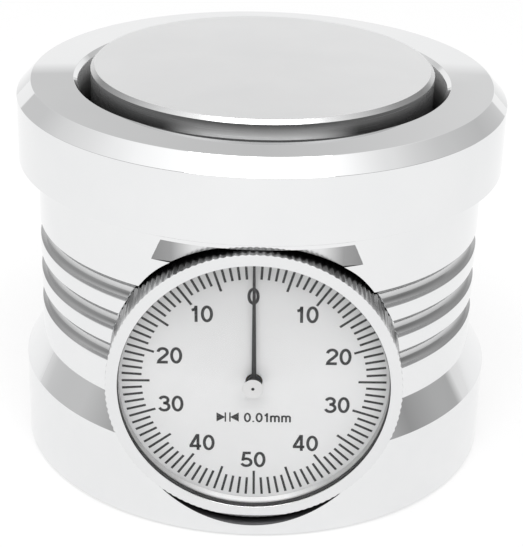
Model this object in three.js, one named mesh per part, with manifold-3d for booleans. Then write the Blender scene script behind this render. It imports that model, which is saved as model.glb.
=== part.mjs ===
// Dial tool setter: a sprung measuring anvil in a turned steel housing, read by a dial set in its side.
// Millimetres, +Z up. The origin is the centre of the base's face, and the dial looks along -Y.

import * as THREE from "three";
import { mergeVertices } from "three/addons/utils/BufferGeometryUtils.js";
import Module from "manifold-3d";

const wasm = await Module();
wasm.setup();

// Driving sizes of the whole setter
const settingHeight = 50;
const flangeRadius = 30.6;
const anvilProud = 1.56;
const stroke = 1.5;
const travelPerTurn = 1;

// Clearances and cuts
const runningClearance = 0.05;
const screwClearance = 0.05;
const seatGap = 0.1;
const turningGap = 0.3;
const overrun = 1;

// Heights as shares of the setting height
const baseHeightShare = 0.222;
const coneHeightShare = 0.075;
const lowestGrooveShare = 0.382;
const groovePitchShare = 0.0884;
const grooveWidthShare = 0.049;
const flangeUndersideShare = 0.77;
const wellDepthShare = 0.16;
const anvilThicknessShare = 0.13;
const dialHeightShare = 0.39;
const bezelRadiusShare = 0.348;

// Housing outside, from the base up
const baseStep = 0.2;
const baseEdge = 0.4;
const waistStep = 2.4;
const grooveCount = 3;
const grooveDepth = 0.95;
const flangeEdge = 0.35;
const chamferWidth = 1.75;
const chamferHeight = 1.85;
const ringWidth = 7.04;
const wellEdge = 0.2;
const webThickness = 9.4;
const baseRadius = flangeRadius - baseStep;
const waistRadius = flangeRadius - waistStep;
const wellRadius = flangeRadius - ringWidth;
const baseHeight = baseHeightShare * settingHeight;
const coneHeight = coneHeightShare * settingHeight;
const lowestGroove = lowestGrooveShare * settingHeight;
const groovePitch = groovePitchShare * settingHeight;
const grooveWidth = grooveWidthShare * settingHeight;
const flangeUnderside = flangeUndersideShare * settingHeight;
const wellDepth = wellDepthShare * settingHeight;
const ringTop = settingHeight - anvilProud;
const wellFloor = ringTop - wellDepth;
const chamberTop = wellFloor - webThickness;

// Depths of the dial and movement as shares of the bezel's reach forward from the housing axis
const bezelDepthShare = 0.222;
const dialSpaceShare = 0.099;
const plateThicknessShare = 0.034;
const plateSpacingShare = 0.137;
const bossHeightShare = 0.051;
const caseFloorShare = 0.041;
const wheelClearanceShare = 0.0307;
const wheelThicknessShare = 0.0273;
const rackToWheelShare = 0.0171;
const rackThicknessShare = 0.0478;
const chamberWallShare = 0.109;

// Bezel and dial
const rimSetback = 1.3;
const rimReach = flangeRadius - rimSetback;
const dialHeight = dialHeightShare * settingHeight;
const bezelRadius = bezelRadiusShare * settingHeight;
const bezelDepth = bezelDepthShare * rimReach;
const bezelChamfer = 0.2;
const knurlTeeth = 112;
const knurlDepth = 0.2;
const bezelWall = 0.62;
const lipThickness = 0.6;
const lipWidth = 0.63;
const crystalSetback = 0.15;
const crystalThickness = 1;
const gasketThickness = 0.25;
const faceDepth = 2.35;
const dialThickness = 0.5;
const dialHoleRadius = 1.3;
const pocketGap = 0.45;
const bezelBackGap = 1;
const bezelBore = bezelRadius - knurlDepth - bezelWall;
const glassRadius = bezelBore - lipWidth;
const stackRadius = bezelBore - seatGap;
const bezelBack = rimReach - bezelDepth;
const lipBack = rimReach - lipThickness;
const gasketFront = lipBack - seatGap / 2;
const gasketBack = gasketFront - gasketThickness;
const crystalFront = rimReach - crystalSetback;
const crystalBack = crystalFront - crystalThickness;
const dialFace = rimReach - faceDepth;
const dialBack = dialFace - dialThickness;
const pocketRadius = bezelRadius + pocketGap;

// Relief milled in the waist over the bezel, whose back leans out over its foot, and the lip above it
const reliefGap = 0.06;
const reliefHeightShare = 0.061;
const reliefFootShare = 0.9;
const reliefTopShare = 0.919;
const reliefLipSetback = 0.3;
const reliefTop = dialHeight + bezelRadius + reliefGap;
const reliefFoot = reliefTop - reliefHeightShare * settingHeight;
const reliefFootReach = reliefFootShare * waistRadius;
const reliefTopReach = reliefTopShare * waistRadius;
const reliefLipBack = reliefTopReach + reliefLipSetback;

// Case of the movement
const caseClearance = 0.2;
const caseWall = 1;
const caseSeatGap = 0.2;
const bossRadius = 1.9;
const caseFloor = caseFloorShare * rimReach;
const bossHeight = bossHeightShare * rimReach;
const dialSpace = dialSpaceShare * rimReach;
const snapGrooveDepth = 0.45;
const snapGrooveWidth = 0.9;
const snapGrooveSetback = 1.1;
const caseRadius = bezelBore - caseClearance;
const caseInner = caseRadius - caseWall;
const caseFront = dialBack - turningGap;

// Movement plates, from the dial back to the pocket floor
const plateInset = 0.9;
const plateThickness = plateThicknessShare * rimReach;
const plateSpacing = plateSpacingShare * rimReach;
const plateRadius = caseInner - plateInset;
const frontPlateFront = caseFront - dialSpace;
const frontPlateBack = frontPlateFront - plateThickness;
const backPlateFront = frontPlateBack - plateSpacing;
const backPlateBack = backPlateFront - plateThickness;
const caseFloorFront = backPlateBack - bossHeight;
const caseBack = caseFloorFront - caseFloor;
const pocketFloor = caseBack - caseSeatGap;

// Gear train: the rack turns its pinion, whose wheel turns the centre pinion ten times as fast
const wheelTeeth = 100;
const centrePinionTeeth = 10;
const takeUpTeeth = 60;
const rackPinionTeeth = 16;
const wheelInset = 0.5;
const wheelThickness = wheelThicknessShare * rimReach;
const wheelClearance = wheelClearanceShare * rimReach;
const addendumShare = 0.8;
const dedendumShare = 1.2;
const wheelReachShare = wheelTeeth + centrePinionTeeth / 2 + addendumShare;
const wheelModule = (plateRadius - wheelInset) / wheelReachShare;
const wheelRadius = (wheelModule * wheelTeeth) / 2;
const centrePinionRadius = (wheelModule * centrePinionTeeth) / 2;
const arborDistance = wheelRadius + centrePinionRadius;
const takeUpRadius = (wheelModule * takeUpTeeth) / 2;
const takeUpDistance = takeUpRadius + centrePinionRadius;
const wheelFront = frontPlateBack - wheelClearance;
const wheelBack = wheelFront - wheelThickness;
const rackPitch = (travelPerTurn * wheelTeeth) / centrePinionTeeth / rackPinionTeeth;
const rackModule = rackPitch / Math.PI;
const rackPinionRadius = (rackModule * rackPinionTeeth) / 2;
const rackThickness = rackThicknessShare * rimReach;
const rackToWheel = rackToWheelShare * rimReach;
const rackWidth = 1.9;
const rackFront = wheelBack - rackToWheel;
const rackBack = rackFront - rackThickness;
const rackLine = arborDistance - rackPinionRadius;
const rackRoot = rackLine - dedendumShare * rackModule;

// Arbors
const arborRadius = 1;
const pivotRadius = 0.5;
const centrePivotRadius = 0.35;
const centreArborRadius = centrePinionRadius - dedendumShare * wheelModule;
const pivotEnd = 0.3;

// Chamber in the base, and what stands in it as shares of its radius
const stemShare = 0.36;
const bushShare = 0.58;
const stopRingShare = 0.5;
const armHubShare = 0.67;
const forkWidthShare = 0.23;
const forkReachShare = 0.91;
const guidePinShare = 0.105;
const guidePinReachShare = 0.8;
const springShare = 0.54;
const chamberWall = chamberWallShare * rimReach;
const chamberRadius = pocketFloor - chamberWall;

// Anvil, stem and guide bush
const wellGap = 2.1;
const anvilEdge = 0.5;
const spigotStep = 1;
const spigotLength = 4;
const stemFlangeStep = 2;
const stemFlangeThickness = 0.8;
const bushFlangeStep = 2;
const bushFlangeThickness = 1.5;
const bushOverArm = 3;
const stopRingThickness = 1;
const stopGrooveDepth = 0.6;
const anvilRadius = wellRadius - wellGap;
const anvilThickness = anvilThicknessShare * settingHeight;
const anvilUnderside = settingHeight - anvilThickness;
const stemRadius = stemShare * chamberRadius;
const spigotRadius = stemRadius - spigotStep;
const stemFlangeRadius = stemRadius + stemFlangeStep;
const bushRadius = bushShare * chamberRadius;
const bushFlangeRadius = bushRadius + bushFlangeStep;
const stopRingRadius = stopRingShare * chamberRadius;

// Drive arm, clamped on the stem, which carries the rack through the pocket floor
const armBelow = 1.5;
const armAbove = 3.4;
const armClearance = 0.8;
const armHubRadius = armHubShare * chamberRadius;
const forkHalfWidth = forkWidthShare * chamberRadius;
const forkReach = forkReachShare * chamberRadius;
const armBottom = dialHeight - armBelow;
const armTop = dialHeight + armAbove;
const armTip = rackBack - seatGap;
const armLeft = rackRoot - rackWidth;
const armRight = rackRoot - seatGap;
const stemTail = 3;
const stemBottom = armBottom - stemTail;
const bushBottom = armTop + bushOverArm;
const stopRingTop = bushBottom - 2 * seatGap;

// Guide pin, which keeps the stem from turning
const guidePinSeat = 4;
const guidePinTail = 1;
const guidePinRadius = guidePinShare * chamberRadius;
const guidePinReach = guidePinReachShare * chamberRadius;

// Base cover and its screws
const coverGap = 0.1;
const coverThickness = 2;
const coverScrewInset = 2.05;
const coverMargin = 2.2;
const coverScrewCount = 3;
const coverScrewCircle = chamberRadius + coverScrewInset;
const coverRadius = coverScrewCircle + coverMargin;
const coverScrewRadius = 1.2;
const coverScrewHead = 2;
const coverScrewHeadDepth = 1.1;
const coverScrewLength = 6.5;
const coverScrewSunk = 0.1;
const coverHexRadius = 0.9;
const coverHexDepth = 0.8;

// Return spring, and the spigot on the cover that centres it
const springSpigotGap = 1.2;
const springSpigotHeight = 4;
const springWire = 0.5;
const springTurns = 6;
const springSteps = 8;
const springSides = 5;
const springRadius = springShare * chamberRadius;
const springSpigotRadius = springRadius - springWire - springSpigotGap;

// Screw under the base that clamps the case
const clampScrewRadius = 1.5;
const clampScrewLength = 2.2;
const clampScrewSunk = 0.5;
const clampScrewInset = 3.65;
const clampScrewReach = caseBack + clampScrewInset;
const clampHexRadius = 0.85;
const clampHexDepth = 1.1;

// Pillars, which hold the plates apart, stand clear of the wheels
const pillarRadius = 1.3;
const pillarInset = 1.9;
const pillarAngleShares = [0.25, 0.65, 0.85];
const pillarCircle = plateRadius - pillarInset;
const smallScrewRadius = 0.5;
const smallScrewHead = 1.05;
const smallScrewHeadHeight = 0.6;
const bossHoleDepth = 1.3;

// Corners closer than this are one
const mergeDistance = 1e-5;

// Facets round a turned piece
const housingFacets = 48;
const bezelFacets = 36;
const plateFacets = 36;
const stemFacets = 24;
const smallFacets = 12;
const hexagonSides = 6;

// Every finish, as seen under plain white light
const finishes = {
  polished: { color: 0xe9ebec, roughness: 0.18, metalness: 1 },
  ground: { color: 0xd3d5d6, roughness: 0.34, metalness: 1 },
  chrome: { color: 0xf0f1f2, roughness: 0.12, metalness: 1 },
  steel: { color: 0xb9bdc1, roughness: 0.35, metalness: 1 },
  spring: { color: 0x8d9298, roughness: 0.4, metalness: 1 },
  brass: { color: 0xc9a25a, roughness: 0.35, metalness: 1 },
  bronze: { color: 0xa9743c, roughness: 0.4, metalness: 1 },
  black: { color: 0x17181a, roughness: 0.5, metalness: 0 },
  blackSteel: { color: 0x24262a, roughness: 0.45, metalness: 1 },
  dialFace: { color: 0xdcdddf, roughness: 0.45, metalness: 0.3 },
  crystal: { color: 0xf4f7f8, roughness: 0.05, metalness: 0, transparent: true, opacity: 0.25 },
};

// Closed meshes and solids

function closedGeometry(geometry) {
  const bare = geometry.index ? geometry.toNonIndexed() : geometry.clone();
  bare.deleteAttribute("normal");
  bare.deleteAttribute("uv");
  const merged = mergeVertices(bare, mergeDistance);
  const position = merged.getAttribute("position");
  const corners = [new THREE.Vector3(), new THREE.Vector3(), new THREE.Vector3()];
  const kept = [];
  let volume = 0;
  for (let i = 0; i < merged.index.count; i += 3) {
    const triangle = [merged.index.getX(i), merged.index.getX(i + 1), merged.index.getX(i + 2)];
    if (new Set(triangle).size < triangle.length) continue;
    triangle.forEach((vertex, k) => corners[k].fromBufferAttribute(position, vertex));
    volume += corners[0].dot(corners[1].clone().cross(corners[2]));
    kept.push(triangle);
  }
  merged.setIndex(kept.flatMap(([a, b, c]) => (volume < 0 ? [a, c, b] : [a, b, c])));
  return merged;
}

function solidOf(geometry) {
  const closed = closedGeometry(geometry);
  const vertProperties = new Float32Array(closed.getAttribute("position").array);
  const triVerts = new Uint32Array(closed.index.array);
  return new wasm.Manifold(new wasm.Mesh({ numProp: 3, vertProperties, triVerts }));
}

function geometryOf(solid) {
  const mesh = solid.getMesh();
  const corners = new THREE.BufferAttribute(new Float32Array(mesh.vertProperties), mesh.numProp);
  const geometry = new THREE.BufferGeometry();
  geometry.setAttribute("position", corners);
  geometry.setIndex(new THREE.BufferAttribute(new Uint32Array(mesh.triVerts), 1));
  return geometry;
}

function cut(blank, tools) {
  return geometryOf(tools.reduce((solid, tool) => solid.subtract(solidOf(tool)), solidOf(blank)));
}

function join([first, ...others]) {
  return geometryOf(others.reduce((solid, piece) => solid.add(solidOf(piece)), solidOf(first)));
}

// Basic forms, all along +Z

function turned(profile, facets) {
  const points = profile.map(([radius, height]) => new THREE.Vector2(radius, height));
  return new THREE.LatheGeometry(points, facets).rotateX(Math.PI / 2);
}

function rod(radius, bottom, top, facets) {
  return turned([[0, bottom], [radius, bottom], [radius, top], [0, top]], facets);
}

function tube(outer, inner, bottom, top, facets) {
  return turned([[inner, bottom], [outer, bottom], [outer, top], [inner, top], [inner, bottom]], facets);
}

function block([left, right], [back, front], [bottom, top]) {
  const box = new THREE.BoxGeometry(right - left, front - back, top - bottom);
  return box.translate((left + right) / 2, (back + front) / 2, (bottom + top) / 2);
}

function polar(radius, angle) {
  return new THREE.Vector2(radius * Math.cos(angle), radius * Math.sin(angle));
}

function circle(radius, facets, centre = new THREE.Vector2()) {
  return Array.from({ length: facets }, (_, k) => polar(radius, (2 * Math.PI * k) / facets).add(centre));
}

function arc(radius, from, to, steps) {
  return Array.from({ length: steps + 1 }, (_, k) => polar(radius, from + ((to - from) * k) / steps));
}

function prism(outline, holes, bottom, top) {
  const shape = new THREE.Shape(outline);
  shape.holes = holes.map((hole) => new THREE.Path(hole));
  const geometry = new THREE.ExtrudeGeometry(shape, { depth: top - bottom, bevelEnabled: false });
  return geometry.translate(0, 0, bottom);
}

// A tube of loops with equal counts of points, closed by a fan at each end
function lofted(loops) {
  const count = loops[0].length;
  const points = loops.flat();
  const faces = [];
  for (let row = 0; row + 1 < loops.length; row += 1) {
    for (let k = 0; k < count; k += 1) {
      const next = (k + 1) % count;
      const [a, b] = [row * count + k, row * count + next];
      faces.push(a, b, b + count, a, b + count, a + count);
    }
  }
  for (const [row, inward] of [[0, true], [loops.length - 1, false]]) {
    const sum = loops[row].reduce((total, point) => total.add(point), new THREE.Vector3());
    const middle = points.push(sum.divideScalar(count)) - 1;
    for (let k = 0; k < count; k += 1) {
      const [a, b] = [row * count + k, row * count + ((k + 1) % count)];
      faces.push(...(inward ? [middle, b, a] : [middle, a, b]));
    }
  }
  const geometry = new THREE.BufferGeometry().setFromPoints(points);
  geometry.setIndex(faces);
  return geometry;
}

// Teeth: each has a straight-sided flank between a tip and a root, as shares of the pitch

const wheelToothShares = { tip: 0.06, root: 0.5 };
const pinionToothShares = { tip: 0.08, root: 0.29 };
const rackToothShares = { tip: 0.1, root: 0.34 };

function gearOutline(teeth, pitchRadius, moduleSize, shares, firstTooth) {
  const tipRadius = pitchRadius + addendumShare * moduleSize;
  const rootRadius = pitchRadius - dedendumShare * moduleSize;
  const pitchAngle = (2 * Math.PI) / teeth;
  const rootSides = shares.root < 1 / 2 ? [-shares.root, shares.root] : [shares.root];
  return Array.from({ length: teeth }, (_, k) => firstTooth + k * pitchAngle).flatMap((angle) => [
    ...rootSides.slice(0, -1).map((side) => polar(rootRadius, angle + side * pitchAngle)),
    polar(tipRadius, angle - shares.tip * pitchAngle),
    polar(tipRadius, angle + shares.tip * pitchAngle),
    polar(rootRadius, angle + shares.root * pitchAngle),
  ]);
}

// Housing: a turned body with a well for the anvil, a chamber for the stem and a pocket for the dial

function grooveProfile(bottom) {
  const steps = 3;
  return Array.from({ length: steps + 1 }, (_, k) => (Math.PI * k) / steps).map((angle) => [
    waistRadius - grooveDepth * Math.sin(angle),
    bottom + (grooveWidth / 2) * (1 - Math.cos(angle)),
  ]);
}

function housingProfile() {
  const grooves = Array.from({ length: grooveCount }, (_, k) => {
    return grooveProfile(lowestGroove + k * groovePitch);
  });
  return [
    [0, 0],
    [baseRadius - baseEdge, 0],
    [baseRadius, baseEdge],
    [baseRadius, baseHeight],
    [waistRadius, baseHeight + coneHeight],
    ...grooves.flat(),
    [waistRadius, flangeUnderside],
    [flangeRadius - flangeEdge, flangeUnderside],
    [flangeRadius, flangeUnderside + flangeEdge],
    [flangeRadius, ringTop - chamferHeight],
    [flangeRadius - chamferWidth, ringTop],
    [wellRadius + wellEdge, ringTop],
    [wellRadius, ringTop - wellEdge],
    [wellRadius, wellFloor],
    [0, wellFloor],
  ];
}

const dialPlace = new THREE.Matrix4().makeRotationX(Math.PI / 2).setPosition(0, 0, dialHeight);

function armWindow(back, front) {
  return block(
    [armLeft - armClearance, armRight + armClearance],
    [-armBelow - stroke - armClearance, armAbove + armClearance],
    [back, front],
  );
}

// The dial's pocket, whose round is cut short under the lip
function pocketTool(back) {
  const front = flangeRadius + overrun;
  const lip = block(
    [-pocketRadius / 2, pocketRadius / 2],
    [bezelRadius + reliefGap / 2, pocketRadius + overrun],
    [reliefLipBack, front + overrun],
  );
  return cut(rod(pocketRadius, back, front, housingFacets), [lip]);
}

// The relief's section, as reach forward and height, run across the waist
function reliefTool() {
  const halfWidth = waistRadius / 2;
  const section = [
    new THREE.Vector2(reliefFootReach, reliefFoot),
    new THREE.Vector2(flangeRadius + overrun, reliefFoot),
    new THREE.Vector2(flangeRadius + overrun, reliefTop),
    new THREE.Vector2(reliefTopReach, reliefTop),
  ];
  return prism(section, [], -halfWidth, halfWidth).rotateX(Math.PI / 2).rotateZ(-Math.PI / 2);
}

function coverScrewPlaces() {
  return Array.from({ length: coverScrewCount }, (_, k) => {
    return polar(coverScrewCircle, (2 * Math.PI * (k + 1 / 2)) / coverScrewCount);
  });
}

function housing() {
  const pocketStep = bezelBack - bezelBackGap;
  const dialTools = [
    pocketTool(pocketStep),
    rod(caseRadius + caseClearance, pocketFloor, pocketStep + overrun, housingFacets),
    armWindow(chamberRadius - chamberWall, pocketFloor + overrun),
  ];
  const screwHole = coverScrewRadius + screwClearance;
  const screwHoleTop = coverScrewLength + overrun;
  const bushSeat = wellFloor - bushFlangeThickness;
  const pinHole = guidePinRadius + screwClearance;
  const pinHoleTop = chamberTop + guidePinSeat + overrun;
  return cut(turned(housingProfile(), housingFacets), [
    ...dialTools.map((tool) => tool.applyMatrix4(dialPlace)),
    reliefTool(),
    rod(coverRadius + coverGap, -overrun, coverThickness, bezelFacets),
    rod(chamberRadius, coverThickness - overrun, chamberTop, stemFacets),
    rod(bushRadius + screwClearance, chamberTop - overrun, wellFloor + overrun, stemFacets),
    rod(bushFlangeRadius + screwClearance, bushSeat, wellFloor + overrun, stemFacets),
    rod(pinHole, chamberTop - overrun, pinHoleTop, smallFacets).translate(0, guidePinReach, 0),
    rod(clampScrewRadius + screwClearance, -overrun, dialHeight - caseRadius, smallFacets)
      .translate(0, -clampScrewReach, 0),
    ...coverScrewPlaces().map(({ x, y }) => {
      return rod(screwHole, coverThickness - overrun, screwHoleTop, smallFacets).translate(x, y, 0);
    }),
  ]);
}

// Base cover with a spigot that centres the spring

function coverScrewProfile(gap) {
  return [
    [0, coverScrewSunk - (gap > 0 ? overrun : 0)],
    [coverScrewHead + gap, coverScrewSunk - (gap > 0 ? overrun : 0)],
    [coverScrewHead + gap, coverScrewSunk],
    [coverScrewRadius + gap, coverScrewSunk + coverScrewHeadDepth],
    [coverScrewRadius + gap, coverScrewLength],
    [0, coverScrewLength],
  ];
}

function baseCover() {
  const plate = turned([
    [0, 0],
    [coverRadius, 0],
    [coverRadius, coverThickness - coverGap],
    [springSpigotRadius, coverThickness - coverGap],
    [springSpigotRadius, coverThickness + springSpigotHeight],
    [0, coverThickness + springSpigotHeight],
  ], bezelFacets);
  const screwHoles = coverScrewPlaces().map(({ x, y }) => {
    return turned(coverScrewProfile(seatGap), smallFacets).translate(x, y, 0);
  });
  return cut(plate, screwHoles);
}

function hexSocket(radius, bottom, top) {
  return rod(radius, bottom, top, hexagonSides);
}

function coverScrew() {
  const socket = hexSocket(coverHexRadius, coverScrewSunk - overrun, coverScrewSunk + coverHexDepth);
  return cut(turned(coverScrewProfile(0), smallFacets), [socket]);
}

function caseClampScrew() {
  const top = clampScrewSunk + clampScrewLength;
  const socket = hexSocket(clampHexRadius, clampScrewSunk - overrun, clampScrewSunk + clampHexDepth);
  return cut(rod(clampScrewRadius, clampScrewSunk, top, smallFacets), [socket]);
}

// Anvil, stem and bush

function anvil() {
  return turned([
    [0, anvilUnderside + spigotLength + seatGap],
    [spigotRadius + runningClearance, anvilUnderside + spigotLength + seatGap],
    [spigotRadius + runningClearance, anvilUnderside],
    [anvilRadius, anvilUnderside],
    [anvilRadius, settingHeight - anvilEdge],
    [anvilRadius - anvilEdge, settingHeight],
    [0, settingHeight],
  ], housingFacets);
}

function stem() {
  const flangeTop = anvilUnderside - seatGap;
  const grooveTop = stopRingTop + seatGap;
  const grooveBottom = stopRingTop - stopRingThickness - seatGap;
  return turned([
    [0, stemBottom],
    [stemRadius, stemBottom],
    [stemRadius, grooveBottom],
    [stemRadius - stopGrooveDepth, grooveBottom],
    [stemRadius - stopGrooveDepth, grooveTop],
    [stemRadius, grooveTop],
    [stemRadius, flangeTop - stemFlangeThickness],
    [stemFlangeRadius, flangeTop - stemFlangeThickness],
    [stemFlangeRadius, flangeTop],
    [spigotRadius, flangeTop],
    [spigotRadius, anvilUnderside + spigotLength],
    [0, anvilUnderside + spigotLength],
  ], stemFacets);
}

function guideBush() {
  const bore = stemRadius + runningClearance;
  return turned([
    [bore, bushBottom],
    [bushRadius, bushBottom],
    [bushRadius, wellFloor - bushFlangeThickness + seatGap],
    [bushFlangeRadius, wellFloor - bushFlangeThickness + seatGap],
    [bushFlangeRadius, wellFloor],
    [bore, wellFloor],
    [bore, bushBottom],
  ], stemFacets);
}

// A flat ring with a gap, from the half angle of the gap round to its other side
function splitRing(outer, inner, halfGap, bottom, top, facets) {
  const outside = arc(outer, halfGap, 2 * Math.PI - halfGap, facets);
  const inside = arc(inner, halfGap, 2 * Math.PI - halfGap, facets).reverse();
  return prism([...outside, ...inside], [], bottom, top);
}

const stopRingHalfGap = Math.PI / 6;

function stopRing() {
  const inner = stemRadius - stopGrooveDepth + runningClearance;
  const bottom = stopRingTop - stopRingThickness;
  return splitRing(stopRingRadius, inner, stopRingHalfGap, bottom, stopRingTop, stemFacets);
}

// Drive arm: a hub on the stem, a bar to the rack and a fork round the guide pin

const armScrewRadius = 1;
const armScrewInset = 0.5;
const armScrewHeight = (armBottom + armTop) / 2;
const armScrewHexRadius = 0.6;
const armScrewHexDepth = 0.9;
const rackScrewRadius = 0.4;
const rackScrewDepth = 1.6;
const rackScrewSpacing = 3.4;
const rackScrewHead = 0.75;
const rackScrewHeadHeight = 0.35;
const rackScrewX = armLeft + rackWidth / 2 - seatGap;
const lowerRackScrew = (armAbove - armBelow - rackScrewSpacing) / 2;
const rackScrewHeights = [lowerRackScrew, lowerRackScrew + rackScrewSpacing];

function armOutline() {
  const slot = guidePinRadius + runningClearance;
  const slotEnd = guidePinReach - slot;
  const arcSteps = stemFacets / 3;
  const forkAngle = Math.acos(forkHalfWidth / armHubRadius);
  return [
    ...arc(armHubRadius, -Math.acos(armRight / armHubRadius), forkAngle, arcSteps),
    new THREE.Vector2(forkHalfWidth, forkReach),
    new THREE.Vector2(slot, forkReach),
    new THREE.Vector2(slot, slotEnd),
    new THREE.Vector2(-slot, slotEnd),
    new THREE.Vector2(-slot, forkReach),
    new THREE.Vector2(-forkHalfWidth, forkReach),
    ...arc(armHubRadius, Math.PI - forkAngle, 2 * Math.PI - Math.acos(armLeft / armHubRadius), arcSteps),
    new THREE.Vector2(armLeft, -armTip),
    new THREE.Vector2(armRight, -armTip),
  ];
}

function driveArm() {
  const body = prism(armOutline(), [circle(stemRadius + runningClearance, stemFacets)], armBottom, armTop);
  const holeBack = armTip - rackScrewDepth - seatGap;
  const rackScrewHoles = rackScrewHeights.map((height) => {
    const hole = rod(rackScrewRadius + screwClearance, holeBack, armTip + overrun, smallFacets);
    return hole.translate(rackScrewX, height, 0).applyMatrix4(dialPlace);
  });
  return cut(body, [
    rod(armScrewRadius + screwClearance, 0, armHubRadius + overrun, smallFacets)
      .rotateY(-Math.PI / 2)
      .translate(0, 0, armScrewHeight),
    ...rackScrewHoles,
  ]);
}

function armClampScrew() {
  const outer = armHubRadius - armScrewInset;
  const inner = stemRadius + seatGap;
  const socket = hexSocket(armScrewHexRadius, outer - armScrewHexDepth, outer + overrun);
  const screw = cut(rod(armScrewRadius, inner, outer, smallFacets), [socket]);
  return screw.rotateY(-Math.PI / 2).translate(0, 0, armScrewHeight);
}

function guidePin() {
  const bottom = armBottom - stroke - guidePinTail;
  return rod(guidePinRadius, bottom, chamberTop + guidePinSeat, smallFacets);
}

// Return spring: one helical tube, whose end turns lie closer together, between the cover and the arm

const springBottom = coverThickness + springWire;
const springTop = armBottom - seatGap - springWire;
const endTurnShare = 1 / springTurns;
const endTurnRise = 4 * springWire;

function springRise(share) {
  const endShare = endTurnRise / (springTop - springBottom);
  if (share < endTurnShare) return (endShare * share) / endTurnShare;
  if (share > 1 - endTurnShare) return 1 - (endShare * (1 - share)) / endTurnShare;
  return endShare + ((1 - 2 * endShare) * (share - endTurnShare)) / (1 - 2 * endTurnShare);
}

function springCentre(share) {
  const { x, y } = polar(springRadius, 2 * Math.PI * springTurns * share);
  return new THREE.Vector3(x, y, springBottom + (springTop - springBottom) * springRise(share));
}

function returnSpring() {
  const steps = springTurns * springSteps;
  const loops = Array.from({ length: steps + 1 }, (_, step) => {
    const share = step / steps;
    const angle = 2 * Math.PI * springTurns * share;
    const outward = new THREE.Vector3(Math.cos(angle), Math.sin(angle), 0);
    return Array.from({ length: springSides }, (_, side) => {
      const turn = (2 * Math.PI * side) / springSides;
      const point = springCentre(share).addScaledVector(outward, springWire * Math.cos(turn));
      point.z += springWire * Math.sin(turn);
      return point;
    });
  });
  return lofted(loops);
}

function leastSpringGap() {
  const steps = springTurns * springSteps;
  const centres = Array.from({ length: steps + 1 }, (_, step) => springCentre(step / steps));
  const apart = centres.flatMap((point, k) => {
    return centres.slice(k + springSteps / 2).map((other) => point.distanceTo(other));
  });
  return Math.min(...apart) - 2 * springWire;
}

console.log(`return spring, least gap to itself: ${leastSpringGap().toFixed(2)} mm`);

// Case: a cup with bosses for the movement and a groove for the snap ring

function pillarPlaces() {
  return pillarAngleShares.map((share) => polar(pillarCircle, 2 * Math.PI * share));
}

function movementCase() {
  const grooveFront = caseFront - snapGrooveSetback;
  const grooveBack = grooveFront - snapGrooveWidth;
  const cup = turned([
    [0, caseBack],
    [caseRadius, caseBack],
    [caseRadius, grooveBack],
    [caseRadius - snapGrooveDepth, grooveBack],
    [caseRadius - snapGrooveDepth, grooveFront],
    [caseRadius, grooveFront],
    [caseRadius, caseFront],
    [caseInner, caseFront],
    [caseInner, caseFloorFront],
    [0, caseFloorFront],
  ], bezelFacets);
  const bossFoot = caseFloorFront - caseFloor / 2;
  const bosses = pillarPlaces().map(({ x, y }) => {
    return rod(bossRadius, bossFoot, backPlateBack - seatGap, smallFacets).translate(x, y, 0);
  });
  const holeRadius = smallScrewRadius + screwClearance;
  const holes = pillarPlaces().map(({ x, y }) => {
    return rod(holeRadius, backPlateBack - bossHoleDepth, caseFront, smallFacets).translate(x, y, 0);
  });
  return cut(join([cup, ...bosses]), [...holes, armWindow(caseBack - overrun, caseFloorFront + overrun)]);
}

// Movement plates and pillars

function pivotHole(radius, place) {
  return circle(radius + runningClearance, smallFacets, place);
}

const rackArborPlace = new THREE.Vector2(arborDistance, 0);
const takeUpArborPlace = new THREE.Vector2(-takeUpDistance, 0);
const centrePlace = new THREE.Vector2(0, 0);

function movementPlate(back, front) {
  return prism(circle(plateRadius, plateFacets), [
    pivotHole(pivotRadius, rackArborPlace),
    pivotHole(pivotRadius, takeUpArborPlace),
    pivotHole(centrePivotRadius, centrePlace),
    ...pillarPlaces().map((place) => circle(smallScrewRadius + screwClearance, smallFacets, place)),
  ], back, front);
}

function frontPlate() {
  return movementPlate(frontPlateBack, frontPlateFront);
}

function backPlate() {
  const plate = movementPlate(backPlateBack, backPlateFront);
  return cut(plate, [armWindow(backPlateBack - overrun, backPlateFront + overrun)]);
}

function pillar() {
  const bore = smallScrewRadius + screwClearance;
  return tube(pillarRadius, bore, backPlateFront + seatGap, frontPlateBack - seatGap, smallFacets);
}

// A cheese-head screw, whose head stands from zero up and whose shank runs down
function smallScrew(length, head, headHeight, shank) {
  return turned([
    [0, -length],
    [shank, -length],
    [shank, 0],
    [head, 0],
    [head, headHeight],
    [0, headHeight],
  ], smallFacets);
}

function movementScrew() {
  const length = frontPlateFront - backPlateBack + bossHoleDepth - seatGap;
  const screw = smallScrew(length, smallScrewHead, smallScrewHeadHeight, smallScrewRadius);
  return screw.translate(0, 0, frontPlateFront + seatGap);
}

// Rack, pinions and wheels

const rackTeethBelow = 4;
const rackTeethAbove = 6;
const rackEnd = rackPitch / 2;

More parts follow.
